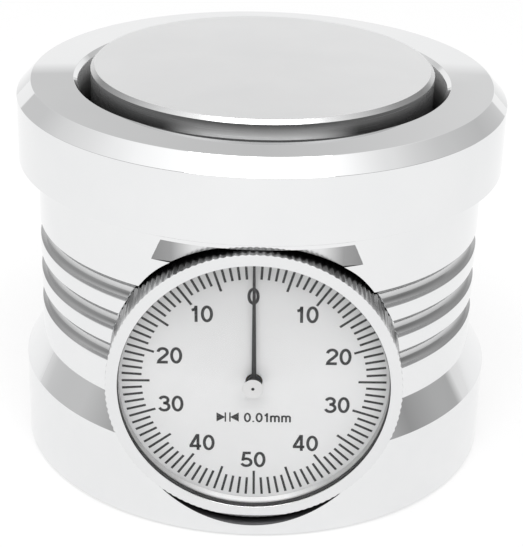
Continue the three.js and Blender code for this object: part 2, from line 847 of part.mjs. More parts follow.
function rack() {
  const tip = rackLine + addendumShare * rackModule;
  const middles = Array.from({ length: rackTeethBelow + rackTeethAbove }, (_, k) => {
    return (k - rackTeethBelow) * rackPitch + rackPitch / 2;
  });
  const teeth = middles.flatMap((middle) => [
    new THREE.Vector2(rackRoot, middle - rackToothShares.root * rackPitch),
    new THREE.Vector2(tip, middle - rackToothShares.tip * rackPitch),
    new THREE.Vector2(tip, middle + rackToothShares.tip * rackPitch),
    new THREE.Vector2(rackRoot, middle + rackToothShares.root * rackPitch),
  ]);
  const bottom = -rackTeethBelow * rackPitch - rackEnd;
  const top = rackTeethAbove * rackPitch + rackEnd;
  const outline = [
    new THREE.Vector2(armLeft, bottom),
    new THREE.Vector2(rackRoot, bottom),
    ...teeth,
    new THREE.Vector2(rackRoot, top),
    new THREE.Vector2(armLeft, top),
  ];
  const screwHoles = rackScrewHeights.map((height) => {
    return circle(rackScrewRadius + screwClearance, smallFacets, new THREE.Vector2(rackScrewX, height));
  });
  return prism(outline, screwHoles, rackBack, rackFront);
}

function rackScrew() {
  const length = rackThickness + rackScrewDepth;
  const screw = smallScrew(length, rackScrewHead, rackScrewHeadHeight, rackScrewRadius);
  return screw.translate(0, 0, rackFront + seatGap / 2);
}

function arbor(radius, pivot, backEnd, frontEnd) {
  const shoulderBack = backPlateFront + seatGap;
  const shoulderFront = frontPlateBack - seatGap;
  return turned([
    [0, backEnd],
    [pivot, backEnd],
    [pivot, shoulderBack],
    [radius, shoulderBack],
    [radius, shoulderFront],
    [pivot, shoulderFront],
    [pivot, frontEnd],
    [0, frontEnd],
  ], smallFacets);
}

function wheelArbor() {
  return arbor(arborRadius, pivotRadius, backPlateBack - pivotEnd, frontPlateFront + pivotEnd);
}

function rackPinion() {
  const teeth = gearOutline(rackPinionTeeth, rackPinionRadius, rackModule, pinionToothShares, 0);
  return join([wheelArbor(), prism(teeth, [], rackBack, rackFront)]);
}

function toothedWheel(teethCount, pitchRadius) {
  const bore = circle(arborRadius + screwClearance, smallFacets);
  const teeth = gearOutline(teethCount, pitchRadius, wheelModule, wheelToothShares, 0);
  return prism(teeth, [bore], wheelBack, wheelFront);
}

// Pointer, pushed on the front end of the centre pinion's arbor

const pointerSetoff = 0.45;
const pointerThickness = 0.2;
const pointerInset = 1.05;
const pointerRootWidth = 0.5;
const pointerTipWidth = 0.2;
const pointerEyeRadius = 0.95;
const pointerHubLength = 0.9;
const pointerHubRadius = 0.8;
const pointerLength = glassRadius - pointerInset;
const pointerBack = dialFace + pointerSetoff;
const pointerFront = pointerBack + pointerThickness;
const centreArborEnd = pointerFront - seatGap;
const hubCapThickness = 0.3;

function centrePinion() {
  const firstTooth = Math.PI / centrePinionTeeth;
  const overlap = seatGap;
  const shares = pinionToothShares;
  const teeth = gearOutline(centrePinionTeeth, centrePinionRadius, wheelModule, shares, firstTooth);
  return join([
    arbor(centreArborRadius, centrePivotRadius, backPlateBack - pivotEnd, centreArborEnd),
    prism(teeth, [], wheelBack - overlap, wheelFront + overlap),
  ]);
}

function pointerHub() {
  const bore = centrePivotRadius + screwClearance;
  return turned([
    [0, centreArborEnd + seatGap / 2],
    [bore, centreArborEnd + seatGap / 2],
    [bore, pointerBack - pointerHubLength],
    [pointerHubRadius, pointerBack - pointerHubLength],
    [pointerHubRadius, pointerFront + hubCapThickness / 2],
    [pointerHubRadius / 2, pointerFront + hubCapThickness],
    [0, pointerFront + hubCapThickness],
  ], smallFacets);
}

function pointer() {
  const half = pointerRootWidth / 2;
  const opening = Math.asin(half / pointerEyeRadius);
  const eyeSteps = 12;
  const eye = Array.from({ length: eyeSteps + 1 }, (_, k) => {
    return polar(pointerEyeRadius, Math.PI / 2 + opening + ((2 * Math.PI - 2 * opening) * k) / eyeSteps);
  });
  const needle = [
    new THREE.Vector2(pointerTipWidth / 2, pointerLength),
    new THREE.Vector2(-pointerTipWidth / 2, pointerLength),
  ];
  const bore = circle(pointerHubRadius + runningClearance / 2, smallFacets);
  return prism([...eye, ...needle], [bore], pointerBack, pointerFront);
}

// Take-up wheel's hairspring, which keeps the teeth against one flank

const colletRadius = 1.6;
const hairTurns = 3;
const hairSteps = 12;
const hairThickness = 0.15;
const hairHeight = 0.8;
const hairClearance = 0.4;
const hairInner = colletRadius + turningGap;
const hairOuter = takeUpDistance - centreArborRadius - hairClearance;
const hairFront = wheelBack - rackToWheel;
const hairBack = hairFront - hairHeight;
const studRadius = 0.4;

function hairspring() {
  const steps = hairTurns * hairSteps;
  const spiral = (offset) => Array.from({ length: steps + 1 }, (_, step) => {
    const share = step / steps;
    const angle = 2 * Math.PI * hairTurns * share + Math.PI / 2;
    return polar(THREE.MathUtils.lerp(hairInner, hairOuter, share) + offset, angle);
  });
  return prism([...spiral(hairThickness), ...spiral(0).reverse()], [], hairBack, hairFront);
}

function hairspringCollet() {
  return tube(colletRadius, arborRadius + screwClearance, hairBack, hairFront, smallFacets);
}

function hairspringStud() {
  const reach = hairOuter + hairThickness + studRadius + seatGap;
  return rod(studRadius, backPlateFront + seatGap, hairFront, smallFacets).translate(0, reach, 0);
}

// Bezel and what turns with it

function knurlLoop(height, tipRadius, rootRadius) {
  return Array.from({ length: 2 * knurlTeeth }, (_, k) => {
    const { x, y } = polar(k % 2 ? rootRadius : tipRadius, (Math.PI * k) / knurlTeeth);
    return new THREE.Vector3(x, y, height);
  });
}

function bezel() {
  const knurlRoot = bezelRadius - knurlDepth;
  const face = bezelRadius - bezelChamfer;
  const grooveFront = caseFront - snapGrooveSetback;
  const grooveBack = grooveFront - snapGrooveWidth;
  const blank = lofted([
    knurlLoop(bezelBack, bezelRadius, knurlRoot),
    knurlLoop(rimReach - bezelChamfer, bezelRadius, knurlRoot),
    knurlLoop(rimReach, face, face),
  ]);
  const bore = turned([
    [0, bezelBack - overrun],
    [bezelBore, bezelBack - overrun],
    [bezelBore, grooveBack],
    [bezelBore + snapGrooveDepth / 2, grooveBack],
    [bezelBore + snapGrooveDepth / 2, grooveFront],
    [bezelBore, grooveFront],
    [bezelBore, lipBack],
    [glassRadius, lipBack],
    [glassRadius, rimReach + overrun],
    [0, rimReach + overrun],
  ], bezelFacets);
  return cut(blank, [bore]);
}

const snapRingHalfGap = Math.PI / 16;

function bezelSnapRing() {
  const front = caseFront - snapGrooveSetback - seatGap;
  const back = front - snapGrooveWidth + 2 * seatGap;
  const inner = caseRadius - snapGrooveDepth + seatGap;
  const outer = bezelBore + snapGrooveDepth / 2 - seatGap;
  return splitRing(outer, inner, snapRingHalfGap, back, front, bezelFacets);
}

function crystal() {
  const flangeFront = gasketBack - seatGap / 2;
  return turned([
    [0, crystalBack],
    [stackRadius, crystalBack],
    [stackRadius, flangeFront],
    [glassRadius - seatGap, flangeFront],
    [glassRadius - seatGap, crystalFront],
    [0, crystalFront],
  ], bezelFacets);
}

function crystalGasket() {
  return tube(stackRadius, glassRadius + seatGap / 2, gasketBack, gasketFront, bezelFacets);
}

function dialRing() {
  return tube(stackRadius, glassRadius, dialFace + seatGap, crystalBack - seatGap, bezelFacets);
}

function dialPlate() {
  return tube(stackRadius, dialHoleRadius, dialBack, dialFace, bezelFacets);
}

// Assembly

const setter = new THREE.Group();
const dialFrame = new THREE.Group();
dialFrame.position.set(0, 0, dialHeight);
dialFrame.rotation.x = Math.PI / 2;
setter.add(dialFrame);

function place(name, geometry, finish, parent = setter, position = [0, 0, 0]) {
  const mesh = new THREE.Mesh(closedGeometry(geometry), new THREE.MeshStandardMaterial(finishes[finish]));
  mesh.name = name;
  mesh.position.set(...position);
  parent.add(mesh);
}

function placeEach(name, places, geometry, finish, parent) {
  places.forEach(({ x, y }, k) => place(`${name}_${k + 1}`, geometry, finish, parent, [x, y, 0]));
}

const rackArborPosition = [rackArborPlace.x, rackArborPlace.y, 0];
const takeUpArborPosition = [takeUpArborPlace.x, takeUpArborPlace.y, 0];
const rackScrewPlaces = rackScrewHeights.map((height) => new THREE.Vector2(rackScrewX, height));

place("housing", housing(), "polished");
place("base_cover", baseCover(), "ground");
placeEach("cover_screw", coverScrewPlaces(), coverScrew(), "blackSteel", setter);
place("guide_bush", guideBush(), "bronze");
place("guide_pin", guidePin(), "steel", setter, [0, guidePinReach, 0]);
place("case_clamp_screw", caseClampScrew(), "blackSteel", setter, [0, -clampScrewReach, 0]);
place("return_spring", returnSpring(), "spring");

place("anvil", anvil(), "ground");
place("stem", stem(), "steel");
place("stop_ring", stopRing(), "blackSteel");
place("drive_arm", driveArm(), "steel");
place("arm_clamp_screw", armClampScrew(), "blackSteel");
place("rack", rack(), "steel", dialFrame);
placeEach("rack_screw", rackScrewPlaces, rackScrew(), "steel", dialFrame);

place("movement_case", movementCase(), "ground", dialFrame);
place("movement_back_plate", backPlate(), "brass", dialFrame);
place("movement_front_plate", frontPlate(), "brass", dialFrame);
placeEach("pillar", pillarPlaces(), pillar(), "brass", dialFrame);
placeEach("movement_screw", pillarPlaces(), movementScrew(), "steel", dialFrame);

place("rack_pinion", rackPinion(), "steel", dialFrame, rackArborPosition);
place("drive_wheel", toothedWheel(wheelTeeth, wheelRadius), "brass", dialFrame, rackArborPosition);
place("center_pinion", centrePinion(), "steel", dialFrame);
place("pointer_hub", pointerHub(), "black", dialFrame);
place("pointer", pointer(), "black", dialFrame);
place("take_up_arbor", wheelArbor(), "steel", dialFrame, takeUpArborPosition);
place("take_up_wheel", toothedWheel(takeUpTeeth, takeUpRadius), "brass", dialFrame, takeUpArborPosition);
place("hairspring_collet", hairspringCollet(), "brass", dialFrame, takeUpArborPosition);
place("hairspring", hairspring(), "spring", dialFrame, takeUpArborPosition);
place("hairspring_stud", hairspringStud(), "brass", dialFrame, takeUpArborPosition);

place("bezel_snap_ring", bezelSnapRing(), "spring", dialFrame);
place("bezel", bezel(), "chrome", dialFrame);
place("dial_plate", dialPlate(), "dialFace", dialFrame);
place("dial_ring", dialRing(), "chrome", dialFrame);
place("crystal_gasket", crystalGasket(), "black", dialFrame);
place("crystal", crystal(), "crystal", dialFrame);

export default setter;
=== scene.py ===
"""Looks of the dial tool setter: smooth turned pieces, knurled bezel, dial print and studio light.

Sizes are in millimetres, as in the solid model, and MM turns them into metres.
"""

import math

import bmesh
import bpy
from mathutils import Matrix, Vector


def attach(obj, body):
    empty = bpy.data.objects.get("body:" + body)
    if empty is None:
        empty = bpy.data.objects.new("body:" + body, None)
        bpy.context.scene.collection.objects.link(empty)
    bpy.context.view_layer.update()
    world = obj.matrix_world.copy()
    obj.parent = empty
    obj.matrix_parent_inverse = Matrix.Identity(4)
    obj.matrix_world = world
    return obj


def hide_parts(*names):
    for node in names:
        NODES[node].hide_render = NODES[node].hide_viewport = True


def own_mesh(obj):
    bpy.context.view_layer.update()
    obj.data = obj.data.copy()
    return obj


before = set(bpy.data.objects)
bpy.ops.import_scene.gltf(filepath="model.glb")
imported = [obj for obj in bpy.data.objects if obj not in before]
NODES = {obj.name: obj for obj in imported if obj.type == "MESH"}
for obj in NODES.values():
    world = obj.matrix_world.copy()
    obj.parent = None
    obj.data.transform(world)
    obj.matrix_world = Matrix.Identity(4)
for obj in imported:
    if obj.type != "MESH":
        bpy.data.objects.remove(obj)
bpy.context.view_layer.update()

MM = 0.001
SCENE = bpy.context.scene

# Sizes of the solid model
SETTING_HEIGHT = 50.0
FLANGE_RADIUS = 30.6
BASE_RADIUS = 30.4
WAIST_RADIUS = 28.2
BASE_HEIGHT = 11.1
CONE_TOP = 14.85
LOWEST_GROOVE = 19.1
GROOVE_PITCH = 4.42
GROOVE_WIDTH = 2.45
GROOVE_DEPTH = 0.95
FLANGE_UNDERSIDE = 38.5
CHAMFER_WIDTH = 1.75
CHAMFER_HEIGHT = 1.85
RING_TOP = 48.44
WELL_RADIUS = 23.56
WELL_FLOOR = 40.44
ANVIL_RADIUS = 21.46
ANVIL_UNDERSIDE = 43.5
DIAL_HEIGHT = 19.5
RIM_REACH = 29.3
BEZEL_RADIUS = 17.4
BEZEL_BORE = 16.58
BEZEL_BACK = 22.795
GLASS_RADIUS = 15.95
STACK_RADIUS = 16.48
LIP_BACK = 28.7
DIAL_FACE = 26.95
DIAL_BACK = 26.45
CRYSTAL_BACK = 28.15
CRYSTAL_FRONT = 29.15
POCKET_RADIUS = 17.85
POCKET_STEP = 21.795
POCKET_FLOOR = 14.347
CASE_POCKET_RADIUS = 16.58
CHAMBER_RADIUS = 11.153
CHAMBER_TOP = 31.04

# Steps round a turned piece, and the angle above which an edge stays crisp
FINE_STEPS = 256
MIDDLE_STEPS = 96
SMALL_STEPS = 48
CRISP_ANGLE = math.radians(32)
# How near the axis has no direction, in metres, and how far off square a turned face may lean
ON_AXIS = 1e-5
LEAN_LIMIT = 0.02


# Meshes


def on_circle(radius, k, steps):
    """The point with number k of the steps that share a circle evenly."""
    angle = 2 * math.pi * k / steps
    return radius * math.cos(angle), radius * math.sin(angle)


def place_point(point, dial):
    """A point of the upright frame, or of the dial's, whose third number is its reach forward."""
    x, y, z = point
    if dial:
        return Vector((x, -z, y + DIAL_HEIGHT)) * MM
    return Vector((x, y, z)) * MM


def skin(rows, steps, start=0, ring=False):
    """Faces round rows of points. A ring's last row joins its first, other skins end closed."""
    faces = []
    for row in range(rows if ring else rows - 1):
        low, high = start + row * steps, start + (row + 1) % rows * steps
        for k in range(steps):
            n = (k + 1) % steps
            faces.append([low + k, low + n, high + n, high + k])
    if not ring:
        last = start + (rows - 1) * steps
        faces += [list(range(start, start + steps)), list(range(last, last + steps))]
    return faces


def object_from(name, points, faces, dial=False, welded=False):
    mesh = bpy.data.meshes.new(name)
    mesh.from_pydata([place_point(point, dial) for point in points], [], faces)
    shape = bmesh.new()
    shape.from_mesh(mesh)
    if welded:
        bmesh.ops.remove_doubles(shape, verts=shape.verts, dist=1e-9)
    bmesh.ops.recalc_face_normals(shape, faces=shape.faces)
    shape.to_mesh(mesh)
    shape.free()
    piece = bpy.data.objects.new(name, mesh)
    SCENE.collection.objects.link(piece)
    return piece


def filleted(profile, steps=4):
    """An outline of (radius, height) or (radius, height, fillet) corners, its fillets drawn."""
    count = len(profile)
    outline = []
    for k, corner in enumerate(profile):
        here = Vector(corner[:2])
        if len(corner) < 3:
            outline.append(tuple(here))
            continue
        before = Vector(profile[(k - 1) % count][:2]) - here
        after = Vector(profile[(k + 1) % count][:2]) - here
        before.normalize()
        after.normalize()
        half = math.acos(max(-1.0, min(1.0, before.dot(after)))) / 2
        back = corner[2] / math.tan(half)
        middle = here + (before + after).normalized() * (corner[2] / math.sin(half))
        first = here + before * back - middle
        last = here + after * back - middle
        turn = math.atan2(first.x * last.y - first.y * last.x, first.dot(last))
        for step in range(steps + 1):
            arm = Matrix.Rotation(turn * step / steps, 2) @ first
            outline.append((middle.x + arm.x, middle.y + arm.y))
    return outline


def turned(name, profile, steps=FINE_STEPS, dial=False, closed=False):
    """A turned piece. Points on the axis become one point, and a closed outline makes a ring."""
    points, rows = [], []
    for radius, height in profile:
        if radius < 1e-6:
            rows.append([len(points)] * steps)
            points.append((0.0, 0.0, height))
            continue
        rows.append(list(range(len(points), len(points) + steps)))
        points += [(*on_circle(radius, k, steps), height) for k in range(steps)]
    faces = []
    for low, high in zip(rows, rows[1:] + rows[:1] if closed else rows[1:]):
        for k in range(steps):
            n = (k + 1) % steps
            corners = [low[k], low[n], high[n], high[k]]
            face = [c for j, c in enumerate(corners) if c not in corners[:j]]
            if len(face) > 2:
                faces.append(face)
    return object_from(name, points, faces, dial)


def rod(radius, low, high, steps=FINE_STEPS, dial=False):
    """A round tool to cut with."""
    return turned("tool", [(0, low), (radius, low), (radius, high), (0, high)], steps, dial)


def moved(piece, x, y, z=0.0):
    piece.data.transform(Matrix.Translation(Vector((x, y, z)) * MM))
    return piece


def prism(name, outline, low, high, dial=False):
    points = [(x, y, height) for height in (low, high) for x, y in outline]
    return object_from(name, points, skin(2, len(outline)), dial)


def dropped(piece):
    mesh = piece.data
    bpy.data.objects.remove(piece)
    bpy.data.meshes.remove(mesh)


def cut(piece, tools):
    """Takes the tools out of the piece. The faces they leave keep the tool's material."""
    for tool in tools:
        step = piece.modifiers.new("cut", "BOOLEAN")
        step.operation = "DIFFERENCE"
        step.solver = "EXACT"
        step.material_mode = "TRANSFER"
        step.object = tool
        baked(piece)
        dropped(tool)
    return piece


def baked(piece):
    """Applies the piece's modifiers to its mesh."""
    view = bpy.context.evaluated_depsgraph_get()
    mesh = bpy.data.meshes.new_from_object(piece.evaluated_get(view), depsgraph=view)
    mesh.name = piece.name
    old = piece.data
    piece.modifiers.clear()
    piece.data = mesh
    bpy.data.meshes.remove(old)
    return piece


def corner_normals(mesh, crisp):
    """Each corner's normal. Large faces rule the fillets beside them, so flat faces stay flat."""
    limit = math.cos(crisp)
    ways = [face.normal.copy() for face in mesh.polygons]
    weighted = [face.normal * (face.area / MM**2) ** 2 for face in mesh.polygons]
    kinds = [face.material_index for face in mesh.polygons]
    around = [[] for _ in mesh.vertices]
    for face in mesh.polygons:
        for corner in face.vertices:
            around[corner].append(face.index)
    normals = [None] * len(mesh.loops)
    for face in mesh.polygons:
        way = ways[face.index]
        for k in face.loop_indices:
            total = Vector((0.0, 0.0, 0.0))
            for other in around[mesh.loops[k].vertex_index]:
                if kinds[other] == kinds[face.index] and way.dot(ways[other]) > limit:
                    total += weighted[other]
            normals[k] = total.normalized() if total.length > 1e-12 else way
    return normals


def finely_shaded(piece, axis=None, crisp=CRISP_ANGLE):
    """Smooth shading with crisp edges. A turned face's normals lie in planes through the axis."""
    mesh = piece.data
    mesh.shade_smooth()
    mesh.set_sharp_from_angle(angle=crisp)
    normals = corner_normals(mesh, crisp)
    middle = Vector((0, 0, DIAL_HEIGHT * MM if axis == "dial" else 0))
    axle = Vector((0, -1, 0)) if axis == "dial" else Vector((0, 0, 1))
    for face in mesh.polygons if axis else ():
        arm = face.center - middle
        arm -= axle * arm.dot(axle)
        if arm.length < ON_AXIS or abs(face.normal.dot(axle.cross(arm).normalized())) > LEAN_LIMIT:
            continue
        for k in face.loop_indices:
            spot = mesh.vertices[mesh.loops[k].vertex_index].co - middle
            spot -= axle * spot.dot(axle)
            if spot.length < ON_AXIS:
                continue
            sideways = axle.cross(spot).normalized()
            straight = normals[k] - sideways * normals[k].dot(sideways)
            if straight.length > 1e-3:
                normals[k] = straight.normalized()
    mesh.normals_split_custom_set([tuple(n) for n in normals])
    return piece


# Materials


def feed(tree, into, value):
    """Gives an input a value of its own, or links it to another node's output."""
    if isinstance(value, bpy.types.NodeSocket):
        tree.links.new(value, into)
    else:
        into.default_value = value


def node(tree, kind, inputs=None, **settings):
    made = tree.nodes.new(kind)
    for key, value in settings.items():
        setattr(made, key, value)
    for key, value in (inputs or {}).items():
        feed(tree, made.inputs[key], value)
    return made


def maths(tree, operation, *terms, **settings):
    terms = dict(enumerate(terms))
    return node(tree, "ShaderNodeMath", terms, operation=operation, **settings).outputs["Value"]


def map_range(tree, value, ends, **settings):
    return node(tree, "ShaderNodeMapRange", {"Value": value, **ends}, **settings).outputs["Result"]


# The mix node's colour inputs and its colour output share their names with others
MIX_FIRST, MIX_SECOND, MIX_RESULT = 6, 7, 2


def mixed(tree, share, first, second, **settings):
    inputs = {"Factor": share, MIX_FIRST: first, MIX_SECOND: second}
    return node(tree, "ShaderNodeMix", inputs, data_type="RGBA", **settings).outputs[MIX_RESULT]


NOISE_ROUGHNESS = 0.55


def noise(tree, place, scale, detail=3.0, stretch=None):
    """A noise pattern in the object's own millimetres, or in its metres times the stretch."""
    scales = stretch or (1 / MM, 1 / MM, 1 / MM)
    vector = node(tree, "ShaderNodeMapping", {"Vector": place, "Scale": scales}).outputs["Vector"]
    inputs = {"Vector": vector, "Scale": scale, "Detail": detail, "Roughness": NOISE_ROUGHNESS}
    return node(tree, "ShaderNodeTexNoise", inputs).outputs["Fac"]


def ramp(tree, source, stops):
    """A colour or a grey that runs from stop to stop while the source goes from 0 to 1."""
    made = node(tree, "ShaderNodeValToRGB", {"Fac": source})
    elements = made.color_ramp.elements
    while len(elements) > 1:
        elements.remove(elements[-1])
    for k, (spot, colour) in enumerate(stops):
        element = elements[0] if k == 0 else elements.new(spot)
        element.position = spot
        element.color = (*colour, 1) if isinstance(colour, tuple) else (colour, colour, colour, 1)
    return made.outputs["Color"]


# Sizes of the drift of colour and of the raised grain, and how high the grain stands
DRIFT_SCALE = 0.1
GRAIN_SCALE = 9.0
GRAIN_HEIGHT = 0.02
MARK_STRETCH = (2200.0, 2200.0, 2200.0)


def new_material(name, metallic):
    """A material with its node tree, the inputs of its shader, and the object's own place."""
    material = bpy.data.materials.new(name)
    material.use_nodes = True
    tree = material.node_tree
    shader = tree.nodes["Principled BSDF"].inputs
    shader["Metallic"].default_value = metallic
    return material, tree, shader, node(tree, "ShaderNodeTexCoord").outputs["Object"]


def surface(name, metallic, base, rough, lines=None, bump=0.0):
    """A finish whose colour and roughness drift a little, with optional fine tool marks."""
    material, tree, shader, place = new_material(name, metallic)
    drift = noise(tree, place, DRIFT_SCALE, detail=4.0)
    feed(tree, shader["Base Color"], ramp(tree, drift, [(0.3, base[0]), (0.7, base[1])]))
    marks = noise(tree, place, 1.0, detail=2.0, stretch=lines or MARK_STRETCH)
    ends = {"To Min": rough[0], "To Max": rough[1]}
    feed(tree, shader["Roughness"], map_range(tree, marks, ends))
    if bump:
        grain = noise(tree, place, GRAIN_SCALE, stretch=lines)
        inputs = {"Height": grain, "Strength": bump, "Distance": GRAIN_HEIGHT * MM}
        feed(tree, shader["Normal"], node(tree, "ShaderNodeBump", inputs).outputs["Normal"])
    return material


def finish_of(piece, *materials):
    piece.data.materials.clear()
    for material in materials:
        piece.data.materials.append(material)
    return piece


# Lines of turning marks run round the axis, so the pattern is stretched far less along it
TURNED_LINES = (90.0, 90.0, 14000.0)
POLISH = surface(
    "polished_chrome", 1.0, ((0.79, 0.795, 0.8), (0.81, 0.813, 0.816)), (0.006, 0.02), TURNED_LINES
)
SATIN_TOP = surface("satin_anvil", 1.0, ((0.85, 0.853, 0.856), (0.88, 0.882, 0.884)), (0.27, 0.31))
CHROME = surface("bezel_chrome", 1.0, ((0.755, 0.76, 0.765), (0.785, 0.787, 0.79)), (0.05, 0.09))
# Near-black bores; on the pocket's walls above and below the bezel this colour is painted shade for
# the dark gap there.
BORED_AND_SHADE = surface("bored_wall_and_shade", 1.0, ((0.1, 0.1, 0.105), (0.16, 0.16, 0.165)), (0.4, 0.55), bump=0.2)
GROUND = surface(
    "ground_steel", 1.0, ((0.62, 0.625, 0.63), (0.7, 0.702, 0.705)), (0.26, 0.36), bump=0.15
)
TOOL_STEEL = surface(
    "tool_steel", 1.0, ((0.46, 0.47, 0.48), (0.56, 0.565, 0.57)), (0.28, 0.4), bump=0.15
)
SPRING = surface(
    "spring_steel", 1.0, ((0.26, 0.28, 0.3), (0.36, 0.375, 0.39)), (0.3, 0.45), bump=0.1
)
BRASS = surface("clock_brass", 1.0, ((0.56, 0.35, 0.1), (0.66, 0.43, 0.15)), (0.28, 0.4), bump=0.1)
BRONZE = surface(
    "bush_bronze", 1.0, ((0.4, 0.18, 0.05), (0.5, 0.24, 0.08)), (0.32, 0.45), bump=0.15
)
BLACK_STEEL = surface(
    "black_oxide", 1.0, ((0.02, 0.021, 0.024), (0.04, 0.042, 0.046)), (0.38, 0.5), bump=0.2
)
BLACK_PAINT = surface(
    "pointer_black", 0.0, ((0.006, 0.006, 0.007), (0.013, 0.013, 0.014)), (0.38, 0.5)
)
BLACK_INK = surface("print_black", 0.0, ((0.012, 0.012, 0.013), (0.022, 0.022, 0.024)), (0.45, 0.6))
RUBBER = surface(
    "gasket_rubber", 0.0, ((0.008, 0.008, 0.008), (0.016, 0.016, 0.016)), (0.55, 0.7), bump=0.3
)
MOULD_MARK = surface(
    "mould_mark", 0.0, ((0.62, 0.62, 0.62), (0.68, 0.68, 0.68)), (0.4, 0.55), bump=0.2
)


def along(axis, low, high, stops, both_ways=False, every=None):
    """A painted tone of light and shade by the place along one axis, on both sides alike or over
    again at every step.
    """
    def tone(tree, parts):
        place, start, end = parts[axis], low, high
        if both_ways:
            place = maths(tree, "ABSOLUTE", place)
        if every:
            place = maths(tree, "MODULO", maths(tree, "SUBTRACT", place, low * MM), every * MM)
            start, end = 0.0, high - low
        ends = {"From Min": start * MM, "From Max": end * MM}
        return ramp(tree, map_range(tree, place, ends), stops)

    return tone


def painted_light_and_shade(material, tone):
    """Multiplies a finish's colour by a tone drawn from the object's own place: painted light and
    shade.
    """
    tree = material.node_tree
    base = tree.nodes["Principled BSDF"].inputs["Base Color"]
    place = node(tree, "ShaderNodeTexCoord").outputs["Object"]
    parts = node(tree, "ShaderNodeSeparateXYZ", {"Vector": place}).outputs
    plain = base.links[0].from_socket
    feed(tree, base, mixed(tree, 1.0, plain, tone(tree, parts), blend_type="MULTIPLY"))
    return material


DIAL_HALF = 16.0
WAIST_RELIEF_HALF = 12.3

# Painted shade: each groove's colour is darker over its lower part.
TURNED = painted_light_and_shade(
    surface("turned_groove", 1.0, ((0.62, 0.623, 0.627), (0.7, 0.702, 0.705)),
            (0.1, 0.24), TURNED_LINES),
    along("Z", LOWEST_GROOVE, LOWEST_GROOVE + GROOVE_WIDTH,
          [(0.0, 0.6), (0.25, 0.6), (0.5, 0.9), (0.65, 1.0)], every=GROOVE_PITCH),
)
# Painted shade: the well's wall darkens downwards, and up to this height it is at its darkest
WELL_SHADE_TOP = 43.0
WELL = painted_light_and_shade(
    surface("well_wall", 0.0, ((0.93, 0.932, 0.934), (0.96, 0.961, 0.962)), (0.4, 0.5)),
    along("Z", WELL_SHADE_TOP, RING_TOP, [(0.0, 0.05), (0.4, 0.3), (0.65, 0.8), (0.8, 1.0)]),
)
# Painted highlight and shade on the anvil's edge by its place front to back: brightest at the
# front, darkest a little behind it, lighter again at the back.
EDGE_SATIN_AND_SHADE = painted_light_and_shade(
    surface("anvil_edge", 1.0, ((0.72, 0.723, 0.727), (0.76, 0.762, 0.765)),
            (0.16, 0.22), TURNED_LINES),
    along("Y", -ANVIL_RADIUS, ANVIL_RADIUS, [
        (0.0, 1.0), (0.04, 0.92), (0.105, 0.72), (0.17, 0.57),
        (0.29, 0.47), (0.35, 0.56), (0.5, 0.85), (1.0, 0.9),
    ]),
)
# Painted shadow: the dial face darkens from its middle towards the top, as under the bezel and
# flange above.
DIAL_WHITE = painted_light_and_shade(
    surface("dial_silver", 0.1, ((0.745, 0.747, 0.75), (0.765, 0.767, 0.77)), (0.4, 0.5)),
    along("Z", DIAL_HEIGHT - DIAL_HALF, DIAL_HEIGHT + DIAL_HALF,
          [(0.5, 1.0), (0.75, 0.89), (1.0, 0.84)]),
)
# Painted shade: the spacer ring darkens from the middle towards its left and right sides.
INNER_WALL = painted_light_and_shade(
    surface("inner_ring", 0.0, ((0.88, 0.88, 0.88), (0.92, 0.92, 0.92)), (0.5, 0.6)),
    along("X", 0.0, STACK_RADIUS, [(0.25, 1.0), (0.55, 0.55), (1.0, 0.45)], both_ways=True),
)
# Painted shade: the knurl darkens from the rim backwards towards the pocket, and this far behind
# the rim it reaches its darkest tone
KNURL_SHADE_DEPTH = 3.0
KNURL = painted_light_and_shade(
    surface("knurled_edge", 1.0, ((0.76, 0.763, 0.767), (0.8, 0.802, 0.805)), (0.2, 0.26)),
    along("Y", -RIM_REACH, KNURL_SHADE_DEPTH - RIM_REACH,
          [(0.0, 1.0), (0.12, 0.9), (0.3, 0.6), (0.6, 0.42), (1.0, 0.35)]),
)
# Painted reflection and shade: the milled relief darkens towards both its ends.
RELIEF = painted_light_and_shade(
    surface("milled_relief", 1.0, ((0.76, 0.763, 0.767), (0.8, 0.802, 0.805)), (0.1, 0.18)),
    along("X", 0.0, WAIST_RELIEF_HALF,
          [(0.45, 1.0), (0.6, 0.9), (0.8, 0.42), (1.0, 0.33)], both_ways=True),
)


PLASTIC_IOR = 1.49
LEAST_SHINE = 0.004


def clear_cover(name, shine):
    """A clear cover: light goes straight through, and the outer side reflects its Fresnel share."""
    material, tree, shader, place = new_material(name, 1.0)
    drift = noise(tree, place, DRIFT_SCALE)
    feed(tree, shader["Base Color"], ramp(tree, drift, [(0.3, 0.96), (0.7, 1.0)]))
    shader["Roughness"].default_value = 0.04
    mirror = node(tree, "ShaderNodeFresnel", {"IOR": PLASTIC_IOR}).outputs["Fac"]
    inside = node(tree, "ShaderNodeNewGeometry").outputs["Backfacing"]
    seen = maths(tree, "MULTIPLY", mirror, maths(tree, "SUBTRACT", 1.0, inside))
    feed(tree, shader["Alpha"], maths(tree, "MULTIPLY_ADD", seen, shine, LEAST_SHINE))
    return material


CRYSTAL = clear_cover("clear_crystal", 0.5)
CLEAR_EDGE = clear_cover("clear_edge", 0.01)


# Camera, at the photograph's viewing angle

IMAGE_WIDTH = 523
IMAGE_HEIGHT = 547
FOCAL_PIXELS = 1628.026
SENSOR = 36.0
CAMERA_AT = Vector((0.36, -195.511, 111.707)) * MM
CAMERA_AIM = Vector((0.556, 0.0, 21.015)) * MM
CAMERA_ROLL = 0.028


